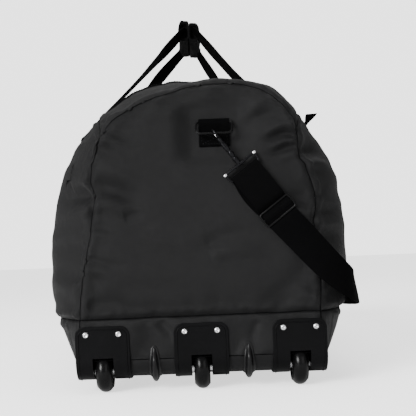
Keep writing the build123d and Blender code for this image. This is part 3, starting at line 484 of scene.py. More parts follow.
def drape(shell, frames=20):
    """Let the fabric between the seams swell and buckle a little, held along the seams, and no further than a cap."""
    mesh = shell.data
    rest = coordinates(mesh)
    held = np.array([len(panels) > 1 or BOTTOM in panels for panels in panels_at_points(mesh)])
    group = shell.vertex_groups.new(name="held")
    group.add([int(v) for v in np.flatnonzero(held)], 1.0, "REPLACE")
    start = rest + normals_of(mesh) * (noise_field(rest, 0.09, 3) * 0.0012)[:, None] * ~held[:, None]
    set_coordinates(mesh, start)
    cloth = shell.modifiers.new("Cloth", "CLOTH")
    settings = cloth.settings
    settings.quality = 4
    settings.mass = 0.25
    settings.tension_stiffness = 12
    settings.compression_stiffness = 12
    settings.shear_stiffness = 4
    settings.bending_stiffness = 1.2
    settings.vertex_group_mass = "held"
    settings.shrink_min = -0.022
    settings.use_pressure = True
    settings.uniform_pressure_force = 1.2
    settings.effector_weights.gravity = 0
    cloth.point_cache.frame_end = frames
    for moment in range(1, frames + 1):
        bpy.context.scene.frame_set(moment)
    evaluated = shell.evaluated_get(bpy.context.evaluated_depsgraph_get())
    draped = coordinates(evaluated.data)
    shell.modifiers.remove(cloth)
    bpy.context.scene.frame_set(1)
    step = draped - rest
    length = np.linalg.norm(step, axis=1, keepdims=True) + 1e-9
    under_lid = smooth(0.34, 0.40, rest[:, 2]) * smooth(0.42, 0.38, np.abs(rest[:, 1]))
    quiet = np.maximum(under_lid, smooth(0.13, BOOT_TOP, rest[:, 2]))
    cap = (CAP_ON_DRAPE * (1 - 0.75 * quiet))[:, None]
    step *= cap * np.tanh(length / cap) / length
    set_coordinates(mesh, rest + step)


def seam_shift(x, y, z):
    """How far each place moves so that the wheel end's seam runs unevenly, as sewn; weaker at the far end."""
    shift = np.zeros((len(x), 3))
    for end, share in ((-1, 1.0), (1, 0.55)):
        near = share * smooth(HALF_LENGTH - 0.085, HALF_LENGTH - 0.004, end * y)
        turned = -end * x
        left = smooth(-0.085, -0.150, turned) * smooth(0.44, 0.40, z)
        right = smooth(0.085, 0.150, turned) * smooth(0.44, 0.40, z)
        along, down = (np.interp(z / MM, *zip(*table)) * MM for table in (LEFT_SEAM, RIGHT_SEAM))
        along = along * left + down * right
        drop = np.interp(turned / MM, *zip(*TOP_SEAM)) * MM * smooth(0.30, 0.43, z)
        shift[:, 0] -= end * along * near
        shift[:, 2] -= drop * near
    return shift


def seam_distance(mesh, points):
    """How far each point is from the nearest seam, without the ones along the bottom's edge."""
    quiet = [{BOTTOM, boot} for boot in (BOOT_LEFT, BOOT_RIGHT, BOOT_FRONT, BOOT_REAR)]
    on_seam = [v for v, panels in enumerate(panels_at_points(mesh)) if len(panels) > 1 and panels not in quiet]
    seams = KDTree(len(on_seam))
    for vertex in on_seam:
        seams.insert(points[vertex], vertex)
    seams.balance()
    return np.array([seams.find(point)[2] for point in points])


def work_folds(shell):
    """Puffed shoulders and a groove at every seam, puckers, placed folds, a slumped top, and flat seats for tabs."""
    mesh = shell.data
    rest = vectors(mesh.attributes["rest"].data, "vector")
    points = coordinates(mesh)
    normals = normals_of(mesh)
    x, y, z = rest[:, 0] - CENTRE_X, rest[:, 1], rest[:, 2]
    rise = z - BOOT_TOP
    distance = seam_distance(mesh, points)
    off_seam = smooth(0.0, 0.010, distance)
    pucker = noise_field(rest, 0.011, 11)
    groove = -GROOVE_DEPTH * np.exp(-(distance / GROOVE_WIDTH) ** 2)
    shoulder = SHOULDER_HEIGHT * np.exp(-((distance - 0.010) / 0.006) ** 2) * (1 + 0.35 * pucker)
    ripple = 0.0007 * pucker * np.exp(-(distance / 0.016) ** 2)
    long_wave = 0.0016 * noise_field(rest, 0.075, 5) * smooth(0.0, 0.03, distance)
    moved = seam_shift(x, y, z)
    across, up = x + moved[:, 0], rise + moved[:, 2]
    front_cap = smooth(-HALF_LENGTH + 0.002, -HALF_LENGTH, y)
    rear_cap = smooth(HALF_LENGTH - 0.002, HALF_LENGTH, y)
    rear = [([(-px * 0.94, pz * 0.97) for px, pz in fold], width, ridge * 0.8) for fold, width, ridge in FOLDS]
    end_folds = (fold_field(across, up, FOLDS) * front_cap + fold_field(across, up, rear) * rear_cap) * off_seam
    on_body = 1 - front_cap - rear_cap
    side_folds = np.zeros_like(x)
    for side, curve, width, ridge in SIDE_FOLDS:
        for end, share in ((1, 1.0), (-1, REAR_SHARE)):
            on_side = smooth(0.06, 0.12, side * end * x) * smooth(0.36, 0.42, -end * y) * on_body
            side_folds += share * on_side * fold_field(end * y, rise, ((curve, width, ridge),))
    gusset = smooth(0.30, 0.40, np.abs(y)) * on_body * (z > BOOT_TOP)
    creases = 0.0030 * gusset * noise_field(rest, 0.038, 23, (1.0, 0.45, 1.5)) * smooth(0.0, 0.012, distance)
    lift = groove + shoulder + ripple + long_wave + end_folds + creases + side_folds * smooth(0.0, 0.006, distance)
    low = (z < BAG_BOTTOM + 0.02) | ((z < BOOT_TOP) & (np.abs(y) > HALF_LENGTH - 0.03))
    lift = np.where(low, 0.3 * lift, lift)
    points += normals * lift[:, None] + moved
    leaning = np.clip((z - 0.15) / 0.30, 0.0, 1.0) * smooth(0.26, OPENING_Y + 0.03, np.abs(y))
    points[:, 0] += bpy.context.scene.duffel_sizes.lean * leaning * np.where(y < 0, 1.0, -0.5)
    beside_tab = 1 - smooth(TAB_WIDTH / 2 + 0.008, TAB_WIDTH / 2 + 0.045, np.abs(points[:, 0] - RING_X))
    level_with_tab = 1 - smooth(0.030, 0.060, np.abs(points[:, 2] - TAB_MIDDLE))
    proud = np.maximum(0.0, np.abs(points[:, 1]) - (HALF_LENGTH - TAB_SEAT))
    points[:, 1] -= np.sign(points[:, 1]) * proud * beside_tab * level_with_tab
    set_coordinates(mesh, points)


def cut_panel(shell, panel, name):
    """A copy of one panel of the shell as a piece of its own."""
    piece = copy_of(shell, name)
    bm = bmesh.new()
    bm.from_mesh(piece.data)
    bmesh.ops.delete(bm, geom=[face for face in bm.faces if face.material_index != panel], context="FACES")
    for face in bm.faces:
        face.material_index = 0
        face.smooth = True
    bm.to_mesh(piece.data)
    bm.free()
    piece.vertex_groups.clear()
    return piece


class Surface:
    """The finished outside of the bag, for laying other pieces on it."""

    def __init__(self, shell):
        bm = bmesh.new()
        bm.from_mesh(shell.data)
        self.tree = BVHTree.FromBMesh(bm)
        bm.free()

    def above(self, x, y, lift=0.0):
        """The place on the surface under a point of the plan, raised along its normal."""
        place, normal, _, _ = self.tree.ray_cast(Vector((x, y, 1.0)), Vector((0, 0, -1)))
        return place + normal * lift, normal

    def beside(self, side, y, z, lift=0.0):
        """The place on the surface beside a point of the side view, raised along its normal."""
        place, normal, _, _ = self.tree.ray_cast(Vector((side, y, z)), Vector((-side, 0, 0)))
        return place + normal * lift, normal


def round_opening(piece, surface):
    """Draw the opening's two square corners at the left into rounds, and lay the moved fabric back on the form."""
    mesh = piece.data
    points = coordinates(mesh)
    radius = LID_CORNER + ZIP_WIDTH
    for side in (-1, 1):
        a = (CENTRE_X - SEAM_X + radius - points[:, 0]) / radius
        b = (side * points[:, 1] - OPENING_Y + radius) / radius
        reach = np.maximum(a, b)
        moved = (a > 0) & (b > 0) & (reach > 0.99) & (reach < 1.8) & (points[:, 2] > 0.30)
        edge_a, edge_b = a / np.maximum(reach, 0.1), b / np.maximum(reach, 0.1)
        fade = smooth(1.8, 1.0, reach) * moved
        shift_a = (edge_a * np.sqrt(np.maximum(1 - edge_b**2 / 2, 0)) - edge_a) * fade
        shift_b = (edge_b * np.sqrt(np.maximum(1 - edge_a**2 / 2, 0)) - edge_b) * fade
        points[:, 0] -= shift_a * radius
        points[:, 1] += side * shift_b * radius
        for vertex in np.flatnonzero(moved):
            place, _ = surface.above(points[vertex, 0], points[vertex, 1])
            points[vertex, 2] = place.z
    set_coordinates(mesh, points)


def give_wall(piece, thickness, offset=-1.0):
    """Give a sheet of fabric its thickness."""
    wall = piece.modifiers.new("Wall", "SOLIDIFY")
    wall.thickness = thickness
    wall.offset = offset
    apply_modifiers(piece)


def shade_round(piece):
    """Shade a piece smooth all over."""
    activate(piece)
    bpy.ops.object.shade_smooth()


def soften(piece, angle=40):
    """Shade a piece smooth, with its sharp turns kept."""
    activate(piece)
    bpy.ops.object.shade_smooth_by_angle(angle=math.radians(angle))


def grid_sheet(name, rows, uv_rows, thickness, offset=1.0):
    """A sheet from rows of points, with UVs in metres and a thickness."""
    points = [point for row in rows for point in row]
    uvs = [uv for row in uv_rows for uv in row]
    sheet = mesh_piece(name, points, grid_faces(len(rows) - 1, len(rows[0]) - 1), uvs)
    give_wall(sheet, thickness, offset)
    return sheet


def lid_path(margin, overrun=0.0):
    """The zip's line round the lid's three free sides from above, moved out by margin."""
    centre_x, centre_y = -LID_X + LID_CORNER, LID_Y - LID_CORNER
    radius = LID_CORNER + margin

    def corner(side, first):
        turns = np.radians(np.linspace(first, first + 90, 17))
        return [(centre_x + radius * math.cos(a), side * centre_y + radius * math.sin(a)) for a in turns]

    path = [(x, LID_Y + margin) for x in np.linspace(LID_X + overrun, centre_x, 41)[:-1]]
    path += corner(1, 90)
    path += [(-LID_X - margin, y) for y in np.linspace(centre_y, -centre_y, 101)[1:-1]]
    path += corner(-1, 180)
    path += [(x, -LID_Y - margin) for x in np.linspace(centre_x, LID_X + overrun, 41)[1:]]
    return [(x + CENTRE_X, y) for x, y in path]


def lid_strip(name, surface, margins, lifts, thickness, overrun=0.0):
    """A band that follows the lid's edge on the bag's surface, between margins, each with its own lift."""
    lines = [lid_path(margin, overrun) for margin in margins]
    middle = lines[len(lines) // 2]
    along = distance_along(middle)
    rows, uvs = [], []
    for k in range(len(middle)):
        rows.append([surface.above(*line[k], lift)[0] for line, lift in zip(lines, lifts)])
        uvs.append([(along[k], margin) for margin in margins])
    return grid_sheet(name, rows, uvs, thickness, offset=-1.0)


def stitch_row(name, line, pitch=0.0042, length=0.0029, radius=0.00042):
    """A row of stitches along pairs of place and normal: each is a small pointed bead, half sunk in the fabric."""
    places, normals = (np.array([tuple(vector) for vector in column], float) for column in zip(*line))
    along = distance_along(places)
    points, faces = [], []
    for number in range(max(1, int(along[-1] / pitch))):
        wanted = (number + 0.5) * pitch
        spots = between(wanted + length * np.array((-0.5, 0.0, 0.5)), along, places)
        back, middle, front = (Vector(spot) for spot in spots)
        up = Vector(between(wanted, along, normals)).normalized()
        side = (front - back).normalized().cross(up).normalized()
        first = len(points)
        points += [back - up * radius * 0.4, front - up * radius * 0.4]
        points += [middle + up * radius * 1.3, middle + side * radius, middle - up * radius, middle - side * radius]
        for k in range(4):
            a, b = first + 2 + k, first + 2 + (k + 1) % 4
            faces += [(first, b, a), (first + 1, a, b)]
    row = mesh_piece(name, points, faces)
    shade_round(row)
    return row


def join(name, parts):
    """Several finished parts as one piece."""
    deselect()
    for part in parts:
        part.select_set(True)
    bpy.context.view_layer.objects.active = parts[0]
    bpy.ops.object.join()
    piece = parts[0]
    piece.name = piece.data.name = name
    return piece


def ribbon(name, centres, across, width, thickness, columns=8, bow=None):
    """Flat webbing along a line of centres, with its width's direction at each, solid and with UVs in metres."""
    centres = np.asarray(centres, float)
    across = np.asarray(across, float)
    across = across / np.linalg.norm(across, axis=1, keepdims=True)
    ahead = np.gradient(centres, axis=0)
    ahead /= np.linalg.norm(ahead, axis=1, keepdims=True)
    up = np.cross(ahead, across)
    up /= np.linalg.norm(up, axis=1, keepdims=True)
    along = distance_along(centres)
    widths = np.broadcast_to(np.asarray(width, float), len(centres))
    rows, uvs = [], []
    for k in range(len(centres)):
        places = np.linspace(-0.5, 0.5, columns + 1) * widths[k]
        rise = np.zeros(columns + 1) if bow is None else bow(k / (len(centres) - 1), places)
        rows.append([centres[k] + across[k] * place + up[k] * high for place, high in zip(places, rise)])
        uvs.append([(along[k], place) for place in places])
    return grid_sheet(name, rows, uvs, thickness, offset=0.0)


# ------------------------------------------------------------------ materials
def group(name, inputs, outputs):
    """A shader node group with named sockets, made once; its nodes are added by the caller."""
    tree = bpy.data.node_groups.new(name, "ShaderNodeTree")
    for label, kind, value in inputs:
        socket = tree.interface.new_socket(label, in_out="INPUT", socket_type=kind)
        if value is not None:
            socket.default_value = value
    for label, kind in outputs:
        tree.interface.new_socket(label, in_out="OUTPUT", socket_type=kind)
    return tree, tree.nodes.new("NodeGroupInput"), tree.nodes.new("NodeGroupOutput")


def math_node(tree, operation, *values):
    """A math node fed by sockets or numbers; gives its output."""
    node = tree.nodes.new("ShaderNodeMath")
    node.operation = operation
    for socket, value in zip(node.inputs, values):
        if isinstance(value, bpy.types.NodeSocket):
            tree.links.new(value, socket)
        else:
            socket.default_value = value
    return node.outputs[0]


def pattern_group(name, count_label, count, surface_of):
    """A group for a woven pattern on a UV in metres: its height, and a mask of the gaps between its threads."""
    tree, start, end = group(
        name, [("Vector", "NodeSocketVector", None), (count_label, "NodeSocketFloat", count)],
        [("Height", "NodeSocketFloat"), ("Gap", "NodeSocketFloat")],
    )

    def calc(operation, *values):
        return math_node(tree, operation, *values)

    parts = tree.nodes.new("ShaderNodeSeparateXYZ")
    tree.links.new(start.outputs["Vector"], parts.inputs[0])
    turns = calc("MULTIPLY", start.outputs[count_label], math.pi)
    height, gap = surface_of(calc, parts.outputs[0], parts.outputs[1], turns)
    tree.links.new(height, end.inputs["Height"])
    tree.links.new(gap, end.inputs["Gap"])
    return tree


def weave_group():
    """Plain weave: threads over and under one another."""
    def surface_of(calc, along, across, turns):
        u = calc("SINE", calc("MULTIPLY", along, turns))
        v = calc("SINE", calc("MULTIPLY", across, turns))
        warp, weft = calc("ABSOLUTE", u), calc("ABSOLUTE", v)
        over = calc("MULTIPLY_ADD", calc("MULTIPLY", u, v), 0.5, 0.5)
        under = calc("MULTIPLY", weft, calc("SUBTRACT", 1.0, over))
        gap = calc("SUBTRACT", 1.0, calc("MINIMUM", warp, weft))
        return calc("ADD", calc("MULTIPLY", warp, over), under), calc("POWER", gap, 4.0)

    return pattern_group("Plain weave", "Threads per metre", 1400.0, surface_of)


def rib_group():
    """Webbing: fine ribs across, crossed by slanting warp ends that mirror at the middle."""
    def surface_of(calc, along, across, turns):
        u = calc("MULTIPLY", along, turns)
        v = calc("MULTIPLY", calc("ABSOLUTE", across), turns)
        rib = calc("ABSOLUTE", calc("SINE", calc("ADD", u, calc("MULTIPLY", v, 0.6))))
        ends = calc("ABSOLUTE", calc("SINE", calc("MULTIPLY", v, 1.3)))
        height = calc("MULTIPLY_ADD", rib, 0.65, calc("MULTIPLY", ends, 0.35))
        return height, calc("POWER", calc("SUBTRACT", 1.0, rib), 3.0)

    return pattern_group("Webbing ribs", "Ribs per metre", 900.0, surface_of)


def soft_variation_group():
    """Slow and fine unevenness of colour and shine, as two values about 0.5."""
    tree, start, end = group(
        "Soft variation", [("Vector", "NodeSocketVector", None), ("Scale", "NodeSocketFloat", 6.0)],
        [("Slow", "NodeSocketFloat"), ("Fine", "NodeSocketFloat")],
    )
    for label, factor, detail in (("Slow", 1.0, 3.0), ("Fine", 22.0, 4.0)):
        cloud = tree.nodes.new("ShaderNodeTexNoise")
        tree.links.new(start.outputs["Vector"], cloud.inputs["Vector"])
        tree.links.new(math_node(tree, "MULTIPLY", start.outputs["Scale"], factor), cloud.inputs["Scale"])
        cloud.inputs["Detail"].default_value = detail
        tree.links.new(cloud.outputs[0], end.inputs[label])
    return tree


GROUPS = {}


def shared(name):
    """A shared node group by name, made on first use."""
    makers = {"Plain weave": weave_group, "Webbing ribs": rib_group, "Soft variation": soft_variation_group}
    if name not in GROUPS:
        GROUPS[name] = makers[name]()
    return GROUPS[name]


def place_group(tree, name, **values):
    """A shared group as a node in a material, with its own values."""
    node = tree.nodes.new("ShaderNodeGroup")
    node.node_tree = shared(name)
    for label, value in values.items():
        node.inputs[label.replace("_", " ")].default_value = value
    return node


def ramp_between(tree, factor, low, high, from_low=0.3, from_high=0.7):
    """A value map from one range to another."""
    node = tree.nodes.new("ShaderNodeMapRange")
    tree.links.new(factor, node.inputs[0])
    for socket, value in zip(node.inputs[1:5], (from_low, from_high, low, high)):
        socket.default_value = value
    return node.outputs[0]


def mix_colour(tree, factor, low, high):
    """A colour between two, each a socket or a value, by a mask."""
    node = tree.nodes.new("ShaderNodeMix")
    node.data_type = "RGBA"
    tree.links.new(factor, node.inputs[0])
    for socket, colour in ((node.inputs[6], low), (node.inputs[7], high)):
        if isinstance(colour, bpy.types.NodeSocket):
            tree.links.new(colour, socket)
        else:
            socket.default_value = (*colour, 1.0)
    return node.outputs[2]


def set_inputs(node, **values):
    """Constants directly on a node's named inputs, with _ for a space."""
    for label, value in values.items():
        node.inputs[label.replace("_", " ")].default_value = value


def new_material(name, cloud_scale):
    """A Principled material with uneven patches on Object coordinates: material, tree, shader, coordinates, patches."""
    material = bpy.data.materials.new(name)
    material.use_nodes = True
    tree = material.node_tree
    coordinate = tree.nodes.new("ShaderNodeTexCoord")
    cloud = place_group(tree, "Soft variation", Scale=cloud_scale)
    tree.links.new(coordinate.outputs["Object"], cloud.inputs["Vector"])
    return material, tree, tree.nodes["Principled BSDF"], coordinate, cloud


def worn(tree, cloud, colour, wear):
    """A colour that gets a little darker and lighter in patches."""
    patches = ramp_between(tree, cloud.outputs["Slow"], 0.0, 1.0)
    return mix_colour(tree, patches, [c * (1 - wear) for c in colour], [c * (1 + wear) for c in colour])


def add_relief(tree, shader, height, strength, distance):
    """Fine relief on the surface from a height."""
    relief = tree.nodes.new("ShaderNodeBump")
    set_inputs(relief, Strength=strength, Distance=distance)
    tree.links.new(height, relief.inputs["Height"])
    tree.links.new(relief.outputs[0], shader.inputs["Normal"])


def cloth_material(name, colour, pattern, count, bump, roughness, sheen, shine=0.14, wear=0.25):
    """Woven goods: the pattern's threads as bump, darker gaps, and uneven shine."""
    material, tree, shader, coordinate, cloud = new_material(name, 5.0)
    threads = place_group(tree, pattern)
    threads.inputs[1].default_value = count
    tree.links.new(coordinate.outputs["UV"], threads.inputs["Vector"])
    shaded = math_node(tree, "MULTIPLY", threads.outputs["Gap"], 0.45)
    base = mix_colour(tree, shaded, worn(tree, cloud, colour, wear), [c * 0.2 for c in colour])
    tree.links.new(base, shader.inputs["Base Color"])
    rough = ramp_between(tree, cloud.outputs["Fine"], roughness - 0.06, roughness + 0.06)
    tree.links.new(rough, shader.inputs["Roughness"])
    set_inputs(shader, Sheen_Weight=sheen, Sheen_Roughness=0.40, Specular_IOR_Level=shine)
    height = math_node(tree, "MULTIPLY_ADD", cloud.outputs["Fine"], 0.6, threads.outputs["Height"])
    add_relief(tree, shader, height, bump, 0.0004)
    return material


def moulded_material(name, colour, roughness, grain, scale=900.0, shine=0.5, metallic=0.0, wear=0.25):
    """Plastic, rubber, lacquer or metal: fine grain as bump, and slow changes of colour and shine."""
    material, tree, shader, coordinate, cloud = new_material(name, 14.0)
    grit = tree.nodes.new("ShaderNodeTexNoise")
    set_inputs(grit, Scale=scale, Detail=2.0)
    tree.links.new(coordinate.outputs["Object"], grit.inputs["Vector"])
    tree.links.new(worn(tree, cloud, colour, wear), shader.inputs["Base Color"])
    rough = ramp_between(tree, cloud.outputs["Fine"], roughness * 0.8, roughness * 1.2)
    tree.links.new(rough, shader.inputs["Roughness"])
    set_inputs(shader, Metallic=metallic, Specular_IOR_Level=shine)
    add_relief(tree, shader, grit.outputs[0], grain, 0.0002)
    return material


# name, colour (a value, or the name of one that a user may change), pattern, its threads per metre, bump, roughness,
# sheen and shine
CLOTHS = {
    "body_fabric": ("Body polyester", "body", "Plain weave", 1500, 0.55, 0.60, 0.020, 0.10),
    "boot_fabric": ("Coated boot fabric", "boot", "Plain weave", 1100, 0.5, 0.56, 0.014, 0.10),
    "lining": ("Smooth lining", (0.02, 0.02, 0.022), "Plain weave", 2400, 0.3, 0.6, 0.02),
    "webbing": ("Strap webbing", "webbing", "Webbing ribs", 760, 0.8, 0.72, 0.0, 0.015),
    "grip_fabric": ("Grip sleeve", (0.0020, 0.0020, 0.0021), "Plain weave", 1300, 0.6, 0.70, 0.0, 0.03),
    "zip_tape": ("Zip tape", (0.003, 0.003, 0.0032), "Plain weave", 2600, 0.5, 0.62, 0.01),
}
# name, colour, roughness, grain, its scale, shine, and for metals how metallic and how worn
MOULDINGS = {
    # painted shade: the near-black colour of the cord that stands in for the shade in each seam's groove
    "seam_thread": ("Seam thread", (0.0008, 0.0008, 0.0009), 0.80, 0.2, 900.0, 0.02),
    "thread": ("Sewing thread", (0.0055, 0.0055, 0.0058), 0.60, 0.2, 900.0, 0.12),
    "zip_coil": ("Nylon zip coil", (0.004, 0.004, 0.0044), 0.40, 0.1, 900.0, 0.2),
    "housing": ("Moulded housing", "housing", 0.40, 0.30, 1100.0, 0.05),
    "skid": ("Skid plastic", (0.0028, 0.0028, 0.0030), 0.34, 0.25, 800.0, 0.16),
    "tread": ("Glossy tread", "tread", 0.24, 0.06, 500.0, 0.11),
    "wheel_core": ("Wheel core", (0.003, 0.003, 0.0033), 0.38, 0.2, 900.0, 0.15),
    "rubber": ("Foot rubber", (0.0036, 0.0036, 0.0038), 0.62, 0.4, 700.0, 0.12),
    "silver": ("Polished steel", "rivet", 0.24, 0.08, 1500.0, 0.5, 1.0, 0.08),
    "black_metal": ("Black coated wire", "hardware", 0.30, 0.08, 900.0, 0.10),
    "gunmetal": ("Gunmetal", (0.010, 0.010, 0.011), 0.28, 0.10, 1200.0, 0.2, 0.9),
    "tube_metal": ("Dark anodised tube", (0.06, 0.06, 0.064), 0.34, 0.12, 1600.0, 0.5, 0.9),
    "stiffener": ("Stiff base sheet", (0.02, 0.02, 0.022), 0.5, 0.4, 300.0),
}
MATERIALS = {}


def finish_of(name):
    """The material of a finish, made on first use."""
    if name not in MATERIALS:
        title, colour, *values = CLOTHS[name] if name in CLOTHS else MOULDINGS[name]
        if isinstance(colour, str):
            colour = getattr(bpy.context.scene.duffel_colours, colour)
        make = cloth_material if name in CLOTHS else moulded_material
        MATERIALS[name] = make(title, colour, *values)
    return MATERIALS[name]


def dress(piece, finish, body, slot=None, nodes=()):
    piece.data.materials.clear()
    piece.data.materials.append(finish_of(finish))
    piece.data.polygons.foreach_set("material_index", np.zeros(len(piece.data.polygons), np.int32))
    if body:
        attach(piece, body)
    if nodes:
        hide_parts(*nodes)
    return piece


# ------------------------------------------------------------------ the sewn body
WHEEL_PLACES = [sum(c.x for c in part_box(f"wheel_tyre_{place}")) / 2 for place in ("left", "middle", "right")]
WHEEL_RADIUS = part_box("wheel_tyre_middle")[1].z / 2
WHEEL_AXIS_Y = sum(c.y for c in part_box("wheel_tyre_middle")) / 2
FABRIC = 0.0022
POCKET_RADIUS, POCKET_HALF_WIDTH = 0.041, 0.020
CUP_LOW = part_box("tow_cup")[0] + Vector((0.004, 0, 0.004))
CUP_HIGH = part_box("tow_cup")[1] + Vector((-0.004, 0.020, -0.004))
# how deep the cord of painted seam shade sinks, and its radius
SEAM_SUNK, SEAM_SHADE_RADIUS = 0.0002, 0.0008
KEPT = {}


def cut_away(piece, is_gone):
    """Delete a piece's faces whose middle passes a test."""
    bm = bmesh.new()
    bm.from_mesh(piece.data)
    bmesh.ops.delete(bm, geom=[face for face in bm.faces if is_gone(face.calc_center_median())], context="FACES")
    bm.to_mesh(piece.data)
    bm.free()


def in_wheel_pocket(place):
    """Whether a place is behind a wheel, where the housing's pocket stands."""
    reach = math.hypot(place.y - WHEEL_AXIS_Y, place.z - WHEEL_RADIUS)
    return reach < POCKET_RADIUS and min(abs(place.x - x) for x in WHEEL_PLACES) < POCKET_HALF_WIDTH


def in_tow_cup(place):
    """Whether a place is where the tow handle's cup goes through the fabric."""
    return all(low < value < high for low, value, high in zip(CUP_LOW, place, CUP_HIGH))


def seam_lines(shell):
    """The sewn seams between the panels, each drawn as a fine dark cord sunk in its groove: painted shade of a groove
    too narrow for the mesh to show.
    """
    bm = bmesh.new()
    bm.from_mesh(shell.data)
    bm.normal_update()
    number, points, edges = {}, [], []
    for edge in bm.edges:
        panels = {face.material_index for face in edge.link_faces}
        if len(panels) < 2 or OPENING in panels:
            continue
        for vertex in edge.verts:
            if vertex.index not in number:
                number[vertex.index] = len(points)
                points.append(vertex.co - SEAM_SUNK * vertex.normal)
        edges.append([number[vertex.index] for vertex in edge.verts])
    bm.free()
    mesh = bpy.data.meshes.new("seam_lines")
    mesh.from_pydata(points, edges, [])
    activate(new_object("seam_lines", mesh))
    bpy.ops.object.convert(target="CURVE")
    piece = bpy.context.object
    piece.data.bevel_depth = SEAM_SHADE_RADIUS
    piece.data.bevel_resolution = 1
    bpy.ops.object.convert(target="MESH")
    piece = bpy.context.object
    make_outward(piece)
    shade_round(piece)
    # painted shade: the cord is dressed near black to draw the shade in the seam's groove
    dress(piece, "seam_thread", "bag", "body_fabric")


def make_body():
    """The whole sewn body: one draped shell, cut into its panels along the seams."""
    shell = bag_shell()
    drape(shell)
    finer = shell.modifiers.new("Finer", "SUBSURF")
    finer.levels = finer.render_levels = 2
    apply_modifiers(shell)
    work_folds(shell)
    surface = KEPT["surface"] = Surface(shell)
    for panel, name, finish, node in (
        (END_FRONT, "front_end_fabric", "body_fabric", "end_panel_front"),
        (END_REAR, "rear_end_fabric", "body_fabric", "end_panel_rear"),
        (SIDE_LEFT, "left_side_fabric", "body_fabric", "side_panel_left"),
        (SIDE_RIGHT, "right_side_fabric", "body_fabric", "side_panel_right"),
        (TOP_FRONT, "front_yoke_fabric", "body_fabric", "top_yoke_front"),
        (TOP_REAR, "rear_yoke_fabric", "body_fabric", "top_yoke_rear"),
        (BOOT_FRONT, "front_boot_fabric", "boot_fabric", "boot_front"),
        (BOOT_REAR, "rear_boot_fabric", "boot_fabric", "boot_rear"),
        (BOOT_LEFT, "left_boot_fabric", "boot_fabric", "boot_left"),
        (BOOT_RIGHT, "right_boot_fabric", "boot_fabric", "boot_right"),
        (BOTTOM, "bottom_fabric", "boot_fabric", "bottom_panel"),
    ):
        piece = cut_panel(shell, panel, name)
        if panel in (TOP_FRONT, TOP_REAR, SIDE_LEFT):
            round_opening(piece, surface)
        if panel in (BOOT_FRONT, BOTTOM):
            cut_away(piece, in_wheel_pocket)
        if panel == BOOT_REAR:
            cut_away(piece, in_tow_cup)
        give_wall(piece, bpy.context.scene.duffel_sizes.fabric)
        shade_round(piece)
        dress(piece, finish, "bag", finish, (node,))
    seam_lines(shell)
    bpy.data.objects.remove(shell)


def lid_patch(name, surface, steps_x=56, steps_y=132):
    """The lid's fabric, laid on the bag's form from its hinge seam to the zip, with its two free corners rounded."""
    xs = np.linspace(-LID_X, SEAM_X, steps_x + 1)
    ys = np.linspace(-LID_Y, LID_Y, steps_y + 1)
    points, uvs = [], []
    for x in xs:
        for y in ys:
            a = max(0.0, (-x - LID_X + LID_CORNER) / LID_CORNER)
            b = max(0.0, (abs(y) - LID_Y + LID_CORNER) / LID_CORNER)
            shift_a = (a * math.sqrt(1 - b * b / 2) - a) * LID_CORNER
            shift_b = (b * math.sqrt(1 - a * a / 2) - b) * LID_CORNER
            place, _ = surface.above(x - shift_a + CENTRE_X, y + math.copysign(shift_b, y), 0.0004)
            points.append(place)
            uvs.append((place.y, place.x))
    return mesh_piece(name, points, grid_faces(steps_x, steps_y, turned=True), uvs)


def dress_lid(piece, finish, slot, nodes=()):
    """Dress a piece of the lid on no body of its own, with its place baked into its mesh; the real lid bends at the
    hinge seam instead of turning there as a plate.
    """
    dress(piece, finish, None, slot, nodes)
    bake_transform(piece)


def stitches_along_lid(name, surface, rows, overrun=0.0):
    """Rows of stitches that follow the lid's edge, each with its margin and its lift."""
    stitches = []
    for margin, lift in rows:
        line = [surface.above(x, y, lift) for x, y in lid_path(margin, overrun)]
        stitches.append(stitch_row(name, line))
    return join(name, stitches)


def make_lid():
    """The lid's fabric with its raised flap along the zip, and its half of the zip."""
    surface = KEPT["surface"]
    lid = lid_patch("lid_fabric", surface)
    give_wall(lid, bpy.context.scene.duffel_sizes.fabric)
    shade_round(lid)
    dress_lid(lid, "body_fabric", "lid_fabric", ("lid_panel",))
    margins, lifts = (-0.026, -0.022, -0.012, -0.002, 0.002), (0.0016, 0.0034, 0.0042, 0.0040, 0.0020)
    flap = lid_strip("zip_flap_fabric", surface, margins, lifts, 0.0018, overrun=0.006)
    soften(flap, 70)
    dress_lid(flap, "body_fabric", "lid_fabric", ("lid_flap",))
    margins, lifts = (-0.004, 0.001, 0.0055), (-0.0004, 0.0004, 0.0006)
    dress_lid(lid_strip("zip_tape_lid", surface, margins, lifts, 0.0007, overrun=0.004), "zip_tape", "zip")
    dress_lid(zip_teeth("zip_coil_lid", surface, 0.0056, 0.0), "zip_coil", "zip")
    rows = ((-0.0035, 0.0040), (-0.0235, 0.0033))
    dress_lid(stitches_along_lid("lid_stitching", surface, rows, 0.004), "thread", "lid_fabric")


# one tooth of the coil: how far it reaches towards the other side, half its width and half its height
TOOTH = ((-0.0010, 0.0006, 0.0004), (0.0000, 0.0009, 0.0008), (0.0020, 0.0009, 0.0008), (0.0029, 0.0005, 0.0003))


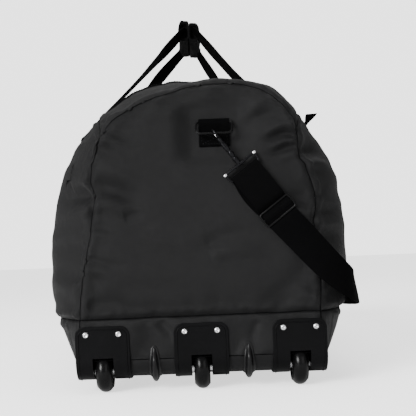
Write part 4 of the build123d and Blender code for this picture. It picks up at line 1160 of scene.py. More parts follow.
def zip_teeth(name, surface, margin, phase, pitch=0.0030):
    """One side of the nylon coil: small rounded loops in a row."""
    line, other = lid_path(margin), lid_path(ZIP_WIDTH - margin)
    along = distance_along(lid_path(ZIP_WIDTH / 2))
    points, faces = [], []
    for number in range(int(along[-1] / pitch)):
        wanted = (number + 0.5 + phase) * pitch
        root, tip = between(wanted, along, line), between(wanted, along, other)
        place, normal = surface.above(*root, 0.0011)
        toward = Vector((*(tip - root), 0)).normalized()
        side = toward.cross(normal).normalized()
        first = len(points)
        for reach, wide, high in TOOTH:
            for turn in np.radians((45, 135, 225, 315)):
                points.append(place + toward * reach + side * wide * math.cos(turn) + normal * high * math.sin(turn))
        for ring in range(3):
            for k in range(4):
                a = first + ring * 4 + k
                b = first + ring * 4 + (k + 1) % 4
                faces.append((a, a + 4, b + 4, b))
        faces += [tuple(first + k for k in range(4)), tuple(first + 12 + k for k in (3, 2, 1, 0))]
    coil = mesh_piece(name, points, faces)
    make_outward(coil, merge=False)
    soften(coil, 60)
    return coil


def make_zip():
    """The bag's half of the zip, the facing that holds it, and the metal of sliders and pulls."""
    surface = KEPT["surface"]
    tape = lid_strip("zip_tape_bag", surface, (0.0085, 0.013, 0.018), (0.0006, 0.0004, -0.0004), 0.0007)
    margins, lifts = (0.0128, 0.0136, 0.0190, 0.0255, 0.0265), (0.0008, 0.0022, 0.0026, 0.0022, 0.0002)
    facing = lid_strip("zip_facing", surface, margins, lifts, 0.0016)
    dress(tape, "zip_tape", "bag", "zip", ("zip_track",))
    dress(zip_teeth("zip_coil_bag", surface, 0.0084, 0.5), "zip_coil", "bag", "zip")
    soften(facing, 70)
    dress(facing, "webbing", "bag", "body_fabric")
    stitching = stitches_along_lid("facing_stitching", surface, ((0.0150, 0.0027), (0.0240, 0.0027)))
    dress(stitching, "thread", "bag", "body_fabric")
    for node in ("zip_slider_front", "zip_slider_rear", "zip_pull_front", "zip_pull_rear"):
        carry_over(node, "black_metal")


def carry_over(node, finish):
    """A CAD node whose shape stays, in its real finish."""
    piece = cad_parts[node]
    for slot in piece.material_slots:
        slot.material = finish_of(finish)


# ------------------------------------------------------------------ webbing, handles and strap
SIDE_WEB_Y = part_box("side_webbing")[1].y - 0.019
SIDE_WEB_FOOT = 0.1145
CARRY_WIDTH = 0.038
PIVOT_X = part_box("carry_webbing_right")[1].x - 0.0012 - CENTRE_X
PIVOT_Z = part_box("carry_webbing_right")[0].z + 0.0012
GRIP_LOW, GRIP_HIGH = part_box("carry_grip_right")
GRIP_X = (GRIP_LOW.x + GRIP_HIGH.x) / 2 - CENTRE_X
GRIP_Z = (GRIP_LOW.z + GRIP_HIGH.z) / 2
GRIP_HALF = (GRIP_HIGH.x - GRIP_LOW.x) / 2
GRIP_TALL = (GRIP_HIGH.z - GRIP_LOW.z) / 2
GRIP_END = GRIP_HIGH.y


def line_of(places):
    """Places as tuples of numbers."""
    return [tuple(place) for place in places]


def stitched_line(name, corners, place_of):
    """A row of stitches through corners given in a piece's own two directions; place_of gives place and normal."""
    flat = []
    for (a0, b0), (a1, b1) in zip(corners, corners[1:]):
        steps = max(2, int(math.hypot(a1 - a0, b1 - b0) / 0.004))
        flat += [(a0 + (a1 - a0) * k / steps, b0 + (b1 - b0) * k / steps) for k in range(steps)]
    flat.append(corners[-1])
    return stitch_row(name, [place_of(a, b) for a, b in flat])


def box_and_cross(name, low, high, place_of):
    """The sewn box with a cross in it that holds webbing down."""
    (a0, b0), (a1, b1) = low, high
    rows = [
        stitched_line(f"{name}_box", [(a0, b0), (a1, b0), (a1, b1), (a0, b1), (a0, b0)], place_of),
        stitched_line(f"{name}_rise", [(a0, b0), (a1, b1)], place_of),
        stitched_line(f"{name}_fall", [(a0, b1), (a1, b0)], place_of),
    ]
    return join(name, rows)


def make_side_webbing():
    """The flat webbing that runs up the bag's sides to the carry handles, sewn down along its edges."""
    surface = KEPT["surface"]
    runs, rows = [], []
    for side in (-1, 1):
        for y in (-SIDE_WEB_Y, SIDE_WEB_Y):
            spots = np.linspace(-0.5, 0.5, 9) * CARRY_WIDTH
            grid, uvs = [], []
            for z in np.linspace(SIDE_WEB_FOOT, PIVOT_Z - 0.002, 60):
                grid.append([surface.beside(side, y + a, z, 0.0013)[0] for a in spots])
                uvs.append([(z, a) for a in spots])
            runs.append(grid_sheet("run", grid, uvs, 0.0018, offset=0.0))

            def on_web(a, b, side=side, y=y):
                return surface.beside(side, y + a, b, 0.0024)

            for a in (-0.0155, 0.0155):
                rows.append(stitched_line("edge", [(a, SIDE_WEB_FOOT + 0.0035), (a, PIVOT_Z - 0.050)], on_web))
            rows.append(box_and_cross("hold", (-0.0150, PIVOT_Z - 0.044), (0.0150, PIVOT_Z - 0.010), on_web))
    dress(join("side_webbing_runs", runs), "webbing", "bag", "webbing", ("side_webbing",))
    dress(join("side_webbing_stitching", rows), "thread", "bag", "webbing")


# Each leg of a handle, by side and end: its twist in degrees at the heights below from foot to grip, how far it
# bows out, and how far it springs out above its foot.
TWIST_HEIGHTS = (0.0, 0.25, 0.42, 0.62, 0.78, 0.94)
LEG_SHAPE = {
    (-1, -1): ((-7, -7, -6, -4, 3, 24), 0.010, 0.026),
    (1, -1): ((0, 10, 19, 9, 9, 18), 0.000, 0.010),
    (-1, 1): ((0, 4, 8, 12, 21, 33), 0.022, 0.006),
    (1, 1): ((0, 4, 10, 12, 16, 24), -0.004, 0.002),
}
SLEEVE_DROP = 0.0045


def handle_leg(side, end):
    """Centres, width directions and widths of one leg of a carry handle, from its foot into its grip."""
    surface = KEPT["surface"]
    foot, _ = surface.beside(side, end * SIDE_WEB_Y, PIVOT_Z - 0.014, 0.0035)
    mid, _ = surface.beside(side, end * SIDE_WEB_Y, PIVOT_Z - 0.004, 0.0035)
    pivot = Vector((CENTRE_X + side * PIVOT_X, end * SIDE_WEB_Y, PIVOT_Z + 0.001))
    twists, bow, spring = LEG_SHAPE[side, end]
    top = Vector((CENTRE_X + side * (GRIP_X + 0.004), end * (GRIP_END + 0.004), GRIP_Z - SLEEVE_DROP - 0.006))
    run = top - pivot
    out = Vector((side * run.z, 0, abs(run.x))).normalized()
    route = [foot, mid]
    for s in (0.02, 0.08, 0.16, 0.28, 0.42, 0.56, 0.70, 0.82, 0.92):
        sprung = spring * (s / 0.08 if s < 0.08 else math.exp(-(((s - 0.08) / 0.34) ** 2)))
        route.append(pivot + run * s + out * bow * math.sin(math.pi * s) + Vector((side, 0, 0.25)) * sprung)
    route.append(top)
    for inward, high in ((0.012, 0.004), (0.030, 0.006)):
        route.append(Vector((CENTRE_X + side * GRIP_X, end * (GRIP_END - inward), top.z + high)))
    centres = along_curve(line_of(route), 120)
    ahead = np.gradient(centres, axis=0)
    ahead /= np.linalg.norm(ahead, axis=1, keepdims=True)
    share = (centres[:, 2] - pivot.z) / (top.z - pivot.z)
    twist = np.radians(np.interp(share, TWIST_HEIGHTS, twists)) * side
    across = []
    for forward, lean in zip(ahead, twist):
        flat = np.array([0.0, 1.0, 0.0]) - forward * forward[1]
        flat /= np.linalg.norm(flat)
        across.append(flat * math.cos(lean) + np.cross(forward, flat) * math.sin(lean))
    inside = smooth(0.90, 1.0, np.linspace(0, 1, len(centres)))
    across = np.array(across) * (1 - inside)[:, None] + np.array([0.0, 0.0, -end]) * inside[:, None]
    widths = CARRY_WIDTH * (1 - 0.40 * smooth(0.78, 1.0, share) - 0.15 * inside)
    return centres, across, widths


def grip_sleeve(name, side):
    """The padded sleeve round a handle's webbing: a lapped roll, flat where the handles meet, hollow at its ends."""
    turns = 48
    mouth = ((0.86, 0.50), (0.90, 0.60), (0.97, 0.66), (0.996, 0.80), (0.998, 0.92))
    stations = [(-t, reach) for t, reach in mouth] + [(t, 1.0) for t in np.linspace(-0.985, 0.985, 45)]
    stations += reversed(mouth)
    middle_z = GRIP_Z - SLEEVE_DROP
    points, uvs, faces = [], [], []
    for t, reach in stations:
        swell = 1 + 0.035 * math.sin(4.1 * t + 2 * side) + 0.02 * noise.noise(Vector((3.4 * t, side, 0)))
        for j in range(turns):
            a = 2 * math.pi * j / turns
            part = (a / (2 * math.pi) + 0.37 * (side > 0)) % 1.0
            lap = 0.0012 * smooth(0.10, 0.0, abs(part - 0.30))
            lump = 1 + 0.05 * noise.noise(Vector((4.0 * t, 1.6 * math.cos(a), 1.6 * math.sin(a) + 3 * side)))
            inner = math.cos(a) * side < 0
            power = 9.0 if inner else 2.3
            square = (abs(math.cos(a)) ** power + abs(math.sin(a)) ** power) ** (-1 / power)
            rx = (GRIP_X + 0.0002) if inner else (GRIP_HALF - 0.0008) * swell * lump + lap
            rz = (GRIP_TALL - 0.0012) * swell * lump + lap
            points.append((
                CENTRE_X + side * GRIP_X + rx * math.cos(a) * square * (reach if not inner or reach < 0.9 else 1.0),
                t * GRIP_END,
                middle_z - 0.0018 * side + rz * math.sin(a) * square * reach,
            ))
            uvs.append((t * GRIP_END, a * (GRIP_HALF + GRIP_TALL) / 2))
    for i in range(len(stations) - 1):
        for j in range(turns):
            a, b = i * turns + j, i * turns + (j + 1) % turns
            faces.append((a, a + turns, b + turns, b))
    for ring in (0, len(stations) - 1):
        faces.append(tuple(range(ring * turns, (ring + 1) * turns)))
    sleeve = mesh_piece(name, points, faces, uvs)
    make_outward(sleeve)
    soften(sleeve, 55)
    return sleeve


def make_outward(piece, merge=True):
    """Merge a piece's doubles and turn its faces outwards."""
    activate(piece)
    bpy.ops.object.mode_set(mode="EDIT")
    bpy.ops.mesh.select_all(action="SELECT")
    if merge:
        bpy.ops.mesh.remove_doubles(threshold=0.00001)
    bpy.ops.mesh.normals_make_consistent(inside=False)
    bpy.ops.object.mode_set(mode="OBJECT")


def make_carry():
    """The two carry handles: webbing that rises from the sides, twists and runs through a padded grip."""
    for side, name in ((-1, "left"), (1, "right")):
        legs = []
        for end in (-1, 1):
            centres, across, widths = handle_leg(side, end)
            curl = 0.006 * smooth(0.84, 0.97, np.linspace(0, 1, len(centres)))

            def bow(s, places, curl=curl):
                return np.interp(s, np.linspace(0, 1, len(curl)), curl) * (2 * places / CARRY_WIDTH) ** 2

            legs.append(ribbon(f"leg_{end}", centres, across, widths, 0.0021, bow=bow))
        webbing = join(f"carry_straps_{name}", legs)
        soften(webbing, 50)
        dress(webbing, "webbing", None, "webbing", (f"carry_webbing_{name}",))
        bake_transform(webbing)
        sleeve = grip_sleeve(f"carry_sleeve_{name}", side)
        dress(sleeve, "grip_fabric", f"carry_{name}", "grip_fabric", (f"carry_grip_{name}",))


SLOPE = math.radians(53)
ALONG = Vector((math.cos(SLOPE), 0, -math.sin(SLOPE)))
ACROSS = Vector((math.sin(SLOPE), 0, math.cos(SLOPE)))
OUTWARD = Vector((0, -1, 0))
RING_LOW, RING_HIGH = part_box("strap_ring_front")
RING_X = (RING_LOW.x + RING_HIGH.x) / 2
RING_WIRE = 0.00175
RING_TILT = math.radians(27)
RING_DROP = 0.022
BAR_Y = -HALF_LENGTH - 0.00435
BAR_Z = RING_HIGH.z - RING_WIRE
RING_FOOT = Vector((RING_X, BAR_Y - RING_DROP * math.sin(RING_TILT), BAR_Z - RING_DROP * math.cos(RING_TILT)))
FAR_BAR = 0.072
NEAR_BAR = 0.059
ADJUSTER = 0.148
STRAP_WIDTH = 0.048
STRAP_THICKNESS = 0.0019
TAB_WIDTH = 0.046
TAB_FOOT = 0.3645
TAB_MIDDLE = 0.388
TAB_SEAT = 0.0004


def wire(name, points, radius, closed=False):
    """Round wire along points, as a mesh."""
    curve = bpy.data.curves.new(name, "CURVE")
    curve.dimensions = "3D"
    curve.bevel_depth = radius
    curve.bevel_resolution = 4
    curve.use_fill_caps = not closed
    spline = curve.splines.new("POLY")
    spline.points.add(len(points) - 1)
    for point, place in zip(spline.points, points):
        point.co = (*place, 1)
    spline.use_cyclic_u = closed
    activate(new_object(name, curve))
    bpy.ops.object.convert(target="MESH")
    piece = bpy.context.object
    make_outward(piece)
    soften(piece, 50)
    return piece


def rounded(corners, radius, steps=7):
    """A closed polygon's points with its corners rounded."""
    points = []
    count = len(corners)
    for k in range(count):
        before, here, after = (Vector(corners[(k + d) % count]) for d in (-1, 0, 1))
        a = here + (before - here).normalized() * radius
        b = here + (after - here).normalized() * radius
        for step in range(steps + 1):
            t = step / steps
            pull = t * (1 - t)
            points.append(a * (1 - t) ** 2 + here * 1.24 * pull + b * t**2 + (a + b) * 0.38 * pull)
    return points


def lathe(name, profile, origin, axis, steps=40):
    """A turned piece: a profile of (place along the axis, radius) in millimetres, spun round it."""
    axis = Vector(axis).normalized()
    side = axis.orthogonal().normalized()
    points = [Vector(origin) + (axis * place + side * radius) * MM for place, radius in profile]
    mesh = bpy.data.meshes.new(name)
    mesh.from_pydata(points, [(k, k + 1) for k in range(len(points) - 1)], [])
    piece = new_object(name, mesh)
    activate(piece)
    bpy.ops.object.mode_set(mode="EDIT")
    bpy.ops.mesh.select_all(action="SELECT")
    bpy.ops.mesh.spin(steps=steps, angle=2 * math.pi, center=tuple(origin), axis=tuple(axis))
    bpy.ops.object.mode_set(mode="OBJECT")
    make_outward(piece)
    soften(piece, 35)
    return piece


def mirrored(piece, name):
    """A copy of a piece for the rear end, turned about the bag's middle plane."""
    copy = copy_of(piece, name)
    points = coordinates(copy.data)
    points[:, 1] *= -1
    set_coordinates(copy.data, points)
    copy.data.flip_normals()
    return copy


def on_hook(s, side=0.0, depth=0.0):
    """A place on the hanging part of the strap: along it, across it and out towards the viewer."""
    return RING_FOOT + ALONG * s + ACROSS * side + OUTWARD * depth


def behind(place):
    """The same place at the far end of the bag."""
    return Vector((place.x, -place.y, place.z))


def make_tabs():
    """Webbing folded over the ring's bar and sewn down on each end panel."""
    surface = KEPT["surface"]

    def off_skin(z, lift, least):
        place, _, _, _ = surface.tree.ray_cast(Vector((RING_X, -1.2, z)), -OUTWARD)
        return min(place.y - lift, -HALF_LENGTH - least)

    radius = RING_WIRE + 0.0011
    heights = np.linspace(TAB_FOOT, BAR_Z - 0.010, 9)
    route = [(off_skin(z, 0.0007, 0.0006), z) for z in heights]
    route.append((BAR_Y + radius * 1.05, BAR_Z - 0.003))
    route += [(BAR_Y + radius * math.cos(a), BAR_Z + radius * math.sin(a)) for a in np.radians(np.linspace(0, 180, 9))]
    route += [(BAR_Y - radius * 1.02, BAR_Z - 0.004), (BAR_Y, BAR_Z - 0.0125)]
    route += [(off_skin(z, 0.0022, 0.0021), z + 0.0012) for z in reversed(heights[:6])]
    centres = [(RING_X, y, z) for y, z in route]
    centres = along_curve(centres, 110)
    across = np.tile((1.0, 0.0, 0.0), (len(centres), 1))
    web = ribbon("tab", centres, across, TAB_WIDTH, 0.0013, columns=10)

    def on_tab(a, b):
        return Vector((RING_X + a, off_skin(b, 0.0029, 0.0029), b)), OUTWARD

    half = TAB_WIDTH / 2 - 0.004
    stitches = box_and_cross("tab_stitching", (-half, TAB_FOOT + 0.004), (half, BAR_Z - 0.0175), on_tab)
    rear_web, rear_stitches = mirrored(web, "rear_web"), mirrored(stitches, "rear_stitches")
    dress(join("strap_tab_webbing", [web, rear_web]), "webbing", "bag", "webbing", ("strap_tabs",))
    dress(join("strap_tab_stitching", [stitches, rear_stitches]), "thread", "bag", "webbing")


def make_rings():
    """The rectangular wire rings that hang in the tabs."""
    down = Vector((0, -math.sin(RING_TILT), -math.cos(RING_TILT)))
    side = Vector(((RING_HIGH.x - RING_LOW.x) / 2 - RING_WIRE, 0, 0))
    top = Vector((RING_X, BAR_Y, BAR_Z))
    foot = top + down * RING_DROP
    corners = [top + side, foot + side, foot - side, top - side]
    ring = wire("ring_wire_front", rounded(corners, 0.0055), RING_WIRE, closed=True)
    rear = mirrored(ring, "ring_wire_rear")
    dress(ring, "black_metal", "ring_front", "hardware_black", ("strap_ring_front",))
    dress(rear, "black_metal", "ring_rear", "hardware_black", ("strap_ring_rear",))


# Turned profiles of the hook, as (place along the axis, radius) in millimetres.
BARREL = (
    (7.2, 0.0), (7.4, 2.0), (9.0, 3.0), (12.0, 3.6), (15.0, 3.4), (16.0, 2.8), (17.5, 2.8), (18.5, 3.8), (21.5, 4.1),
    (30.0, 4.1), (32.5, 3.7), (33.5, 3.0), (35.0, 3.0), (36.0, 3.8), (38.0, 4.0), (43.0, 3.6), (45.5, 2.6), (45.8, 1.9),
    (54.5, 1.9), (54.8, 0.0),
)
SLIDE = ((-1.6, 0.0), (-1.6, 1.1), (1.2, 1.4), (2.2, 1.0), (2.2, 0.0))
THUMB = ((-1.2, 0.0), (-1.2, 1.2), (0.6, 1.7), (1.8, 1.2), (2.0, 0.0))
COLLAR = (
    (46.5, 2.1), (46.6, 4.2), (48.0, 4.6), (50.0, 4.6), (50.8, 4.0), (55.0, 3.8), (58.0, 3.2), (59.0, 2.1),
)
CAP = ((-2.6, 0.0), (-2.6, 1.9), (-1.6, 2.4), (1.0, 2.4), (2.0, 1.8), (2.4, 0.0))


def make_hooks():
    """The swivel snap hooks: an eye of thick wire with a spring gate, a turned barrel and a swivel."""
    centre = on_hook(0.0023)

    def on_eye(angle, radius=0.0075):
        turn = math.radians(angle)
        return centre + ALONG * radius * math.cos(turn) + OUTWARD * radius * math.sin(turn)

    hook = wire("eye", [on_eye(a) for a in np.linspace(-28, 222, 40)], 0.0017)
    barrel = lathe("barrel", BARREL, RING_FOOT, ALONG, 32)
    slide = lathe("slide", SLIDE, on_hook(0.0195, 0.0, 0.0045), OUTWARD, 16)
    body = join("hook_body_front", [hook, barrel, slide])
    gate = wire("arm", [on_eye(a) for a in np.linspace(-132, -38, 18)], 0.00135)
    thumb = lathe("thumb", THUMB, on_eye(-90, 0.0090), -OUTWARD, 14)
    gate = join("hook_arm_front", [gate, thumb])
    for piece, rear_name, body_name, node, finish, slot in (
        (body, "hook_body_rear", "hook", "snap_hook", "gunmetal", "hook_metal"),
        (gate, "hook_arm_rear", "gate", "hook_gate", "silver", "bright_steel"),
    ):
        rear = mirrored(piece, rear_name)
        dress(piece, finish, f"{body_name}_front", slot, (f"{node}_front",))
        dress(rear, finish, f"{body_name}_rear", slot, (f"{node}_rear",))


def hook_corners(near, far, half):
    """The corners of a wire frame across the strap, between two distances along it."""
    return [on_hook(near, half), on_hook(far, half), on_hook(far, -half), on_hook(near, -half)]


def make_frames():
    """The wire frames that hold the strap's webbing on the hooks, with their swivel collars and bright bar ends."""
    half = 0.0270
    frame_wire = wire("frame_wire", rounded(hook_corners(NEAR_BAR, FAR_BAR, half), 0.0035), 0.0019, closed=True)
    collar = lathe("collar", COLLAR, RING_FOOT, ALONG, 28)
    yoke = wire("yoke", [on_hook(NEAR_BAR, a * 0.010, 0.0) for a in np.linspace(-1, 1, 7)], 0.0026)
    caps = [
        lathe("cap", CAP, on_hook(NEAR_BAR, side * (half + 0.0006), 0.0004), ACROSS * side, 20) for side in (-1, 1)
    ]
    fronts = [frame_wire, yoke, collar]
    dark = join("hook_frame_wires", fronts + [mirrored(part, "rear_part") for part in fronts])
    bright = join("hook_frame_fittings", caps + [mirrored(cap, "rear_cap") for cap in caps])
    dress(dark, "gunmetal", "strap", "hook_metal", ("hook_frames",))
    dress(bright, "silver", "strap", "bright_steel")


def make_adjuster():
    """The three-bar slide on the strap."""
    half = 0.0262
    corners = hook_corners(ADJUSTER - 0.0105, ADJUSTER + 0.0105, half)
    outer = wire("outer", rounded(corners, 0.0030), 0.0018, closed=True)
    bar = wire("bar", [on_hook(ADJUSTER, a * half) for a in np.linspace(-1, 1, 9)], 0.0016)
    dress(join("strap_slide", [outer, bar]), "black_metal", "strap", "hardware_black", ("strap_adjuster",))


# the strap from its slide round the corner and along the side: x out from the widest place, y, z, turn, fall, tilt
STRAP_ROUTE = (
    (-0.0670, -0.4605, 0.2085, 10.0, 44.0, 0.0),
    (-0.0370, -0.4590, 0.1765, 24.0, 42.0, -2.0),
    (-0.0130, -0.4500, 0.1560, 40.0, 36.0, -6.0),
    (0.0010, -0.4300, 0.1450, 60.0, 24.0, -12.0),
    (0.0080, -0.3930, 0.1405, 80.0, 12.0, -14.0),
    (0.0145, -0.3100, 0.1350, 88.0, 4.0, -12.0),
    (0.0205, -0.1600, 0.1275, 90.0, 1.0, -9.0),
    (0.0225, 0.0, 0.1255, 90.0, 0.0, -6.0),
)


def strap_stations():
    """Places and width directions of the strap from its slide to the rear hook's far bar."""
    places, across = [], []
    for past, depth in ((0.004, 0.0026), (0.0085, 0.0006), (0.0125, -0.0022), (0.020, -0.0006)):
        places.append(tuple(on_hook(ADJUSTER + past, 0, depth)))
        across.append(tuple(ACROSS))
    half = BAG_WIDTH / 2 + CENTRE_X
    rear = [(x, -y, z, 180 - turn, -fall, tilt) for x, y, z, turn, fall, tilt in reversed(STRAP_ROUTE[:-1])]
    for x, y, z, turn, fall, tilt in (*STRAP_ROUTE, *rear):
        turn, fall, tilt = (math.radians(angle) for angle in (turn, fall, tilt))
        heading = Vector((math.cos(turn), math.sin(turn), 0))
        ahead = heading * math.cos(fall) - Vector((0, 0, 1)) * math.sin(fall)
        wide = heading * math.sin(fall) + Vector((0, 0, 1)) * math.cos(fall)
        wide = wide * math.cos(tilt) + ahead.cross(wide) * math.sin(tilt)
        places.append((half + x, y, z))
        across.append(tuple(wide))
    for s in (ADJUSTER + 0.014, ADJUSTER - 0.010, 0.110, FAR_BAR + 0.012, FAR_BAR + 0.002):
        places.append(tuple(behind(on_hook(s, 0, 0.0016 if s > 0.11 else 0.0034))))
        across.append(tuple(ACROSS))
    return places, across


# How the strap's end lies between the hook's frame and the slide: (distance along the strap, depth in front of it).
BACK_LAYER = ((0.130, -0.0048), (0.110, -0.0050), (0.092, -0.0046), (0.080, -0.0038))
FRONT_LAYER = ((0.080, 0.0042), (0.092, 0.0052), (0.112, 0.0058), (0.128, 0.0050))
SLIDE_WEAVE = ((-0.0125, -0.0006), (-0.0100, -0.0022), (-0.0060, 0.0004), (-0.0015, 0.0030), (0.004, 0.0026))
REAR_LAYER = ((0.080, -0.0036), (0.100, -0.0034), (0.125, -0.0020), (0.146, -0.0010))


def make_strap():
    """The shoulder strap: doubled webbing from the front hook to the slide, then one layer round to the rear hook."""
    places, across = strap_stations()
    count = 420
    centres, wide = along_curve(places, count), along_curve(across, count)
    t = np.linspace(0, 1, count)
    centres[:, 2] += noise_field(centres, 0.06, 41) * 0.0010 * smooth(0.05, 0.15, t) * smooth(0.98, 0.85, t)

    def cup(s, spots):
        return 0.0016 * math.sin(math.pi * s) * (1 - (2 * spots / STRAP_WIDTH) ** 2)

    def loop(name, line, points):
        across = np.tile(tuple(ACROSS), (points, 1))
        return ribbon(name, along_curve(line_of(line), points), across, STRAP_WIDTH, STRAP_THICKNESS, columns=8)

    run = ribbon("run", centres, wide, STRAP_WIDTH, STRAP_THICKNESS, columns=10, bow=cup)
    turn = [(FAR_BAR - 0.0034 * math.cos(a), 0.0034 * math.sin(a)) for a in np.radians(np.linspace(-80, 80, 13))]
    line = []
    for s, depth in ((ADJUSTER + 0.0035, -0.0042), (ADJUSTER - 0.004, -0.0050), *BACK_LAYER, *turn[:7]):
        hidden = depth < 0 and s < ADJUSTER - 0.001
        share = min(1.0, max(0.0, (s - FAR_BAR) / (ADJUSTER - FAR_BAR)))
        line.append(on_hook(s, -0.0050 * math.sin(math.pi * share) if hidden else 0.0, depth))
    front = [*turn[7:], *FRONT_LAYER, *[(ADJUSTER + past, depth) for past, depth in SLIDE_WEAVE]]
    line += [on_hook(s, 0.0, depth) for s, depth in front]
    rear = [(FAR_BAR + 0.002, 0.0034), *[(s, -depth) for s, depth in turn], *REAR_LAYER]
    rear_loop = [behind(on_hook(s, 0, depth)) for s, depth in rear]
    pieces = [run, loop("loop", line, 200), loop("rear_loop", rear_loop, 90)]
    strap = join("shoulder_strap", pieces)
    soften(strap, 50)
    dress(strap, "webbing", "strap", "webbing", ("strap_webbing",))

    def on_rear(a, b):
        return behind(on_hook(a, b, 0.0028)), -OUTWARD

    dress(box_and_cross("strap_stitching", (0.106, -0.019), (0.140, 0.019), on_rear), "thread", "strap", "webbing")


def make_pull_tab():
    """The short webbing tab sewn into the right side, pinched at its foot."""
    surface = KEPT["surface"]
    low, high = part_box("side_pull_tab")
    y = (low.y + high.y) / 2
    foot, _ = surface.beside(1, y, low.z - 0.007, -0.002)
    top = Vector((foot.x + 0.0150, y, low.z + 0.0140))
    steps = np.linspace(0, 1, 12)
    lines = [foot.lerp(top, t) + Vector((0.0012 * math.sin(math.pi * t), 0, 0)) for t in steps]
    widths = 0.0060 + 0.0120 * smooth(0.25, 0.95, steps)
    across = np.tile((1.0, 0.12, 0.06), (len(steps), 1))

    def fold(s, spots):
        return 0.0022 * (1 - s) * np.abs(spots) / 0.004

    tab = ribbon("pull_tab_webbing", line_of(lines), across, widths, 0.0022, columns=8, bow=fold)
    soften(tab, 60)
    dress(tab, "webbing", "bag", "webbing", ("side_pull_tab",))


# ------------------------------------------------------------------ wheel end
def make_wheels():
    """Glossy treads with lips, on dished cores that stay as the CAD has them."""
    half, seat, radius = 11.9, 21.2, WHEEL_RADIUS / MM
    lip = ((half, seat), (half, seat + 1.6), (half - 0.6, seat + 2.2), (half - 0.6, seat + 3.6), (half, seat + 4.0))
    crown = [(a * half * 0.995, radius - 7.6 * abs(a) ** 2.6) for a in np.linspace(-1, 1, 25)]
    profile = [(-place, height) for place, height in lip] + crown + list(reversed(lip)) + [(-half, seat)]
    for place, x in zip(("left", "middle", "right"), WHEEL_PLACES):
        tread = lathe(f"wheel_tread_{place}", profile, (x, WHEEL_AXIS_Y, WHEEL_RADIUS), (1, 0, 0), 96)
        dress(tread, "tread", f"wheel_{place}", "tyre", (f"wheel_tyre_{place}",))
        carry_over(f"wheel_core_{place}", "wheel_core")
        carry_over(f"wheel_bearings_{place}", "silver")
        carry_over(f"wheel_housing_{place}", "housing")
    carry_over("wheel_axles", "silver")


FRONT_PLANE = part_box("wheel_housing_middle")[0].y
HOUSING_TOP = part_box("wheel_housing_middle")[1].z
HOUSING_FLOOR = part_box("wheel_housing_middle")[0].z
BEND = WHEEL_END_ROUND + 0.003
RIVET_SPREAD, RIVET_HEIGHT = 0.0245, 0.090
RIVET = ((0.0, 4.5), (0.9, 4.4), (1.9, 3.6), (2.3, 2.6), (2.1, 1.9), (1.2, 1.5), (0.4, 1.4), (0.4, 0.0))
RIVET_RING = ((0.1, 6.2), (0.6, 6.0), (0.8, 5.0), (0.8, 4.0), (0.1, 3.8))
SKID_SPREAD = 0.071
SKID_INSET = 0.003
# the flange and the ridge of a skid: half width, height, first and last length down the front, sharpness of the crown
SKID_FORMS = ((0.0092, 0.0020, 0.0315, 0.136, 5.0), (0.0068, 0.0092, 0.0350, 0.129, 2.3))


def down_the_front(length, lift=0.0):
    """A place on the housings' profile, at a length down the front face from its top, round the bend and back."""
    straight = HOUSING_TOP - (HOUSING_FLOOR + BEND)
    if length <= straight:
        return FRONT_PLANE - lift, HOUSING_TOP - length, (-1.0, 0.0)
    angle = (length - straight) / BEND
    if angle < math.pi / 2:
        out, down = -math.cos(angle), -math.sin(angle)
        return FRONT_PLANE + BEND + out * (BEND + lift), HOUSING_FLOOR + BEND + down * (BEND + lift), (out, down)
    back = length - straight - BEND * math.pi / 2
    return FRONT_PLANE + BEND + back, HOUSING_FLOOR - lift, (0.0, -1.0)


def make_housing_trim():
    """A moulded bead round each wheel housing, and the bright tubular rivets that fix it."""
    beads, rivets, eyes = [], [], []
    inset, corner, half, reach = 0.0048, 0.0105, 0.041, 0.098
    lengths = [(length, 0.0) for length in np.linspace(reach, inset + corner, 26)]
    for angle in np.radians(np.linspace(180, 90, 9)[1:-1]):
        lengths.append((inset + corner - corner * math.sin(angle), corner + corner * math.cos(angle)))
    for x in WHEEL_PLACES:
        path = []
        for length, along in lengths:
            y, z, _ = down_the_front(length, 0.0002)
            path.append((x - half + inset + along, y, z))
        path += [(2 * x - px, py, pz) for px, py, pz in reversed(path)]
        beads.append(wire("bead", path, 0.0008))
        for side in (-1, 1):
            centre = (x + side * RIVET_SPREAD, FRONT_PLANE, RIVET_HEIGHT)
            rivets.append(lathe("rivet", RIVET, centre, OUTWARD, 28))
            eyes.append(lathe("eye", RIVET_RING, centre, OUTWARD, 28))
    dress(join("housing_beads", beads), "housing", "bag", "moulding")
    dress(join("rivet_heads", rivets), "silver", "bag", "bright_steel", ("housing_rivets",))
    dress(join("rivet_rings", eyes), "black_metal", "bag", "hardware_black")


def make_skids():
    """The two slim skids between the wheels: pointed arches with a crowned ridge and a thin flange."""
    shells = []
    steps, columns = 60, 16
    stride = columns + 1
    for x in (WHEEL_PLACES[1] - SKID_SPREAD, WHEEL_PLACES[1] + SKID_SPREAD):
        for half, tall, first, last, power in SKID_FORMS:
            points = []
            for t in np.linspace(0, 1, steps + 1):
                point = (1 - (1 - min(1.0, t / 0.34)) ** 2.0) ** 0.5 * (1 - max(0.0, (t - 0.90) / 0.10) ** 2) ** 0.5
                rise = smooth(0.0, 0.22, t) * smooth(1.0, 0.90, t)
                for a in np.linspace(-1, 1, stride):
                    crown = (1 - abs(a) ** power) * (0.15 + 0.85 * rise)
                    lift = -SKID_INSET - 0.0005 + (tall + 0.0005) * crown
                    y, z, _ = down_the_front(first + (last - first) * t, lift)
                    points.append((x + a * half * max(point, 0.02), y, z))
            rim = list(range(stride)) + [(i + 1) * stride - 1 for i in range(1, steps + 1)]
            rim += [steps * stride + j for j in range(columns - 1, -1, -1)]
            rim += [i * stride for i in range(steps - 1, 0, -1)]
            faces = grid_faces(steps, columns, turned=True) + [tuple(rim)]
            shell = mesh_piece("skid", points, faces)
            make_outward(shell)
            soften(shell, 38)
            shells.append(shell)
    dress(join("skid_shells", shells), "skid", "bag", "skid_plastic", ("skid_guards",))


